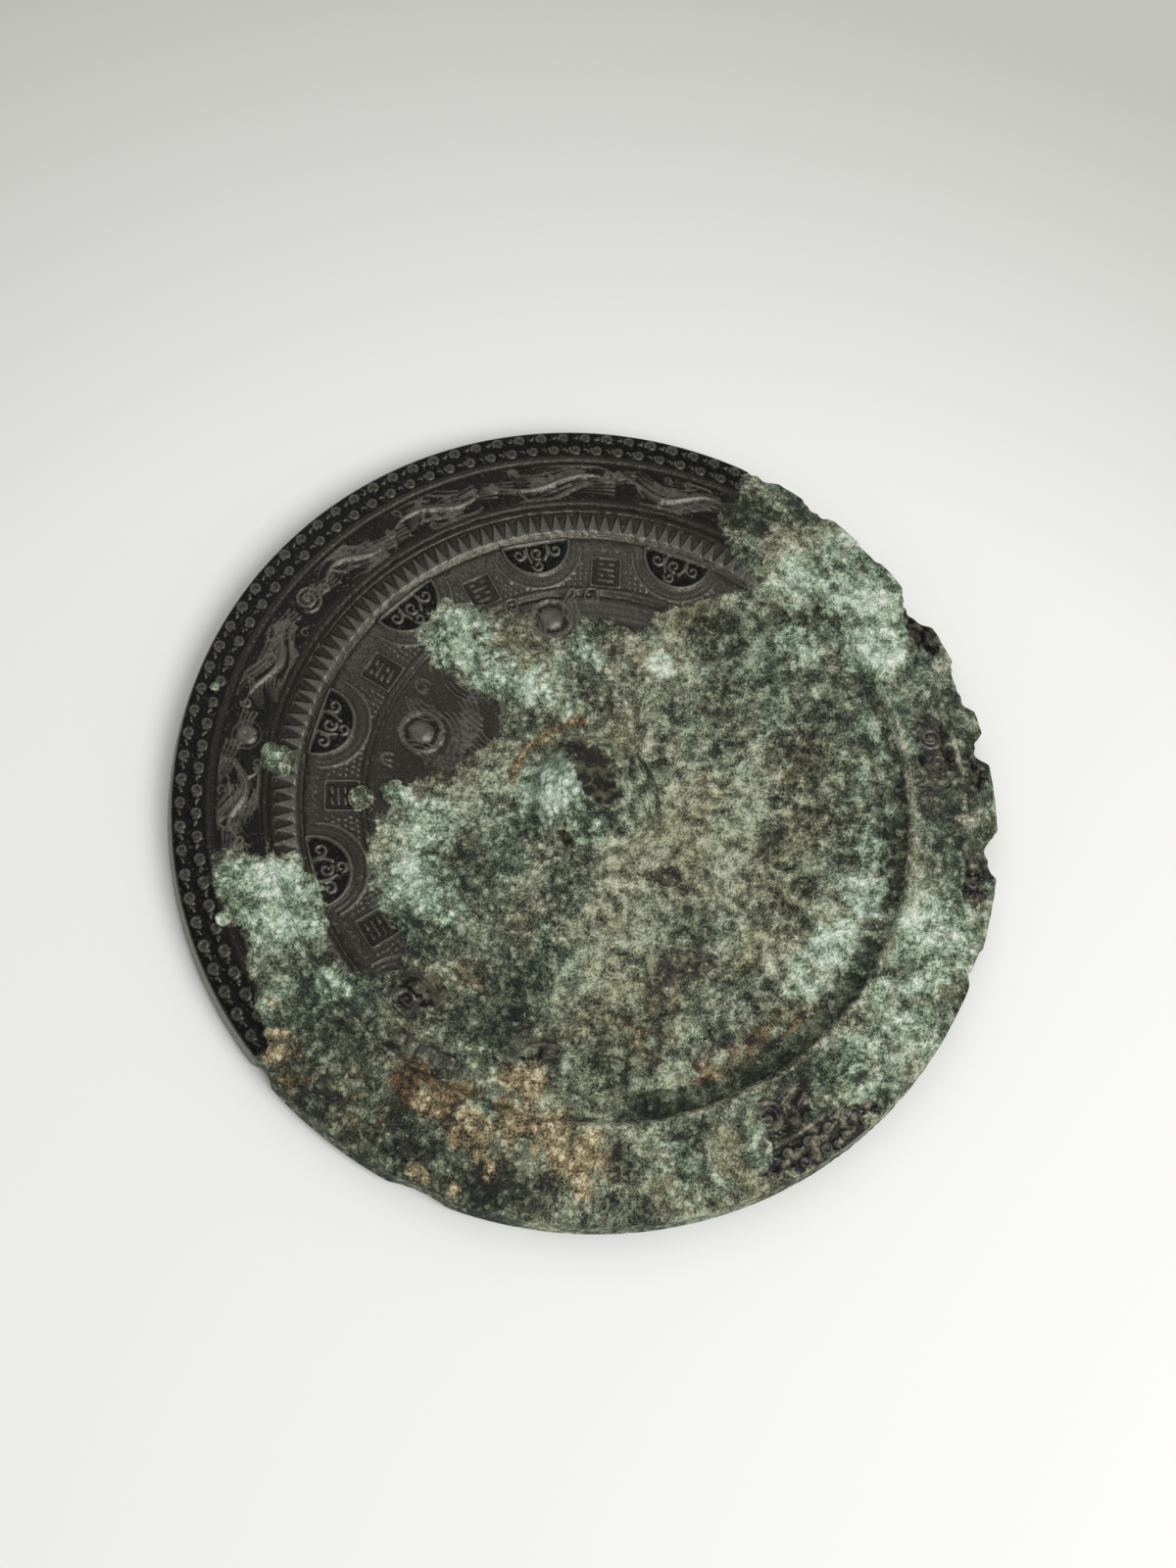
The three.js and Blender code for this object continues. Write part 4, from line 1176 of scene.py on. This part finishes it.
# Pale table and soft studio light
studio = {
    "tableColour": "#e8e8e6",
    "tableFarShade": "#c2c3bd",    # painted shade: the board's colour darkens away from the bright spot, standing in for the light's falloff
    "brightSpot": (0.0, -0.055, 0),
    "tableSize": 3.0,         # metres
    "keyPower": 4.2,          # watts
    "keySize": 0.42,
    "keyAt": (0.34, -0.3, 0.6),
    "fillPower": 1.2,
    "fillSize": 0.6,
    "fillAt": (-0.3, 0.5, 0.7),
    "skyStrength": 0.48,
}
bpy.ops.mesh.primitive_plane_add(size=studio["tableSize"])
table = bpy.context.object
table.name = "table"
paint = bpy.data.materials.new("matt pale board")  # pale and without shine, so the dark casting stands out
paint.use_nodes = True
board = paint.node_tree.nodes["Principled BSDF"]
board.inputs["Roughness"].default_value = 0.9
# Painted light and shade on the board: palest round the bright spot, darker further off
middleOut = addNode(paint.node_tree, "ShaderNodeVectorMath", {"operation": "DISTANCE"}, {
    0: addNode(paint.node_tree, "ShaderNodeTexCoord").outputs["Object"], 1: studio["brightSpot"],
}).outputs["Value"]
falloff = addNode(paint.node_tree, "ShaderNodeMapRange", inputs={
    "Value": middleOut, "From Min": 0.13, "From Max": 0.245,
}).outputs[0]
shade = addNode(paint.node_tree, "ShaderNodeMix", {"data_type": "RGBA"}, {
    "Factor": falloff, 6: linearColour(studio["tableColour"]), 7: linearColour(studio["tableFarShade"]),
}).outputs[2]
paint.node_tree.links.new(shade, board.inputs["Base Color"])
table.data.materials.append(paint)


def areaLight(name, place, size, power):
    light = bpy.data.lights.new(name, "AREA")
    light.size = size
    light.energy = power
    lamp = bpy.data.objects.new(name, light)
    scene.collection.objects.link(lamp)
    lamp.location = place
    lamp.rotation_euler = (-Vector(place)).to_track_quat("-Z", "Y").to_euler()
    return lamp


areaLight("key", studio["keyAt"], studio["keySize"], studio["keyPower"])
areaLight("fill", studio["fillAt"], studio["fillSize"], studio["fillPower"])
world = bpy.data.worlds.new("studio")
scene.world = world
world.use_nodes = True
world.node_tree.nodes["Background"].inputs["Color"].default_value = linearColour("#f4f4f2")
world.node_tree.nodes["Background"].inputs["Strength"].default_value = studio["skyStrength"]
scene.view_settings.view_transform = "Standard"

# Camera at the photograph's angle: the fit gave the view's turn and the place of the disc in it
cameraFit = {
    "pitch": -0.3229,                # radians
    "roll": 0.1213,
    "offset": (1.5, -1.7, -239.5),   # the rim's plane, as the camera sees it
    "focalPixels": 1500,             # for an image 1200 by 1600
    "imageLongSide": 1600,
}
view = Matrix.Rotation(cameraFit["pitch"], 3, "X") @ Matrix.Rotation(cameraFit["roll"], 3, "Y")
lens = bpy.data.cameras.new("view")
lens.sensor_width = 36.0
lens.lens = cameraFit["focalPixels"] / cameraFit["imageLongSide"] * lens.sensor_width
lens.clip_start = 0.01
eye = bpy.data.objects.new("view", lens)
scene.collection.objects.link(eye)
eyePlace = -(view.transposed() @ Vector(cameraFit["offset"])) + Vector((0, 0, form["rimEdgeZ"]))
eye.matrix_world = Matrix.Translation(eyePlace * mm) @ view.transposed().to_4x4()
scene.camera = eye

print("finished")
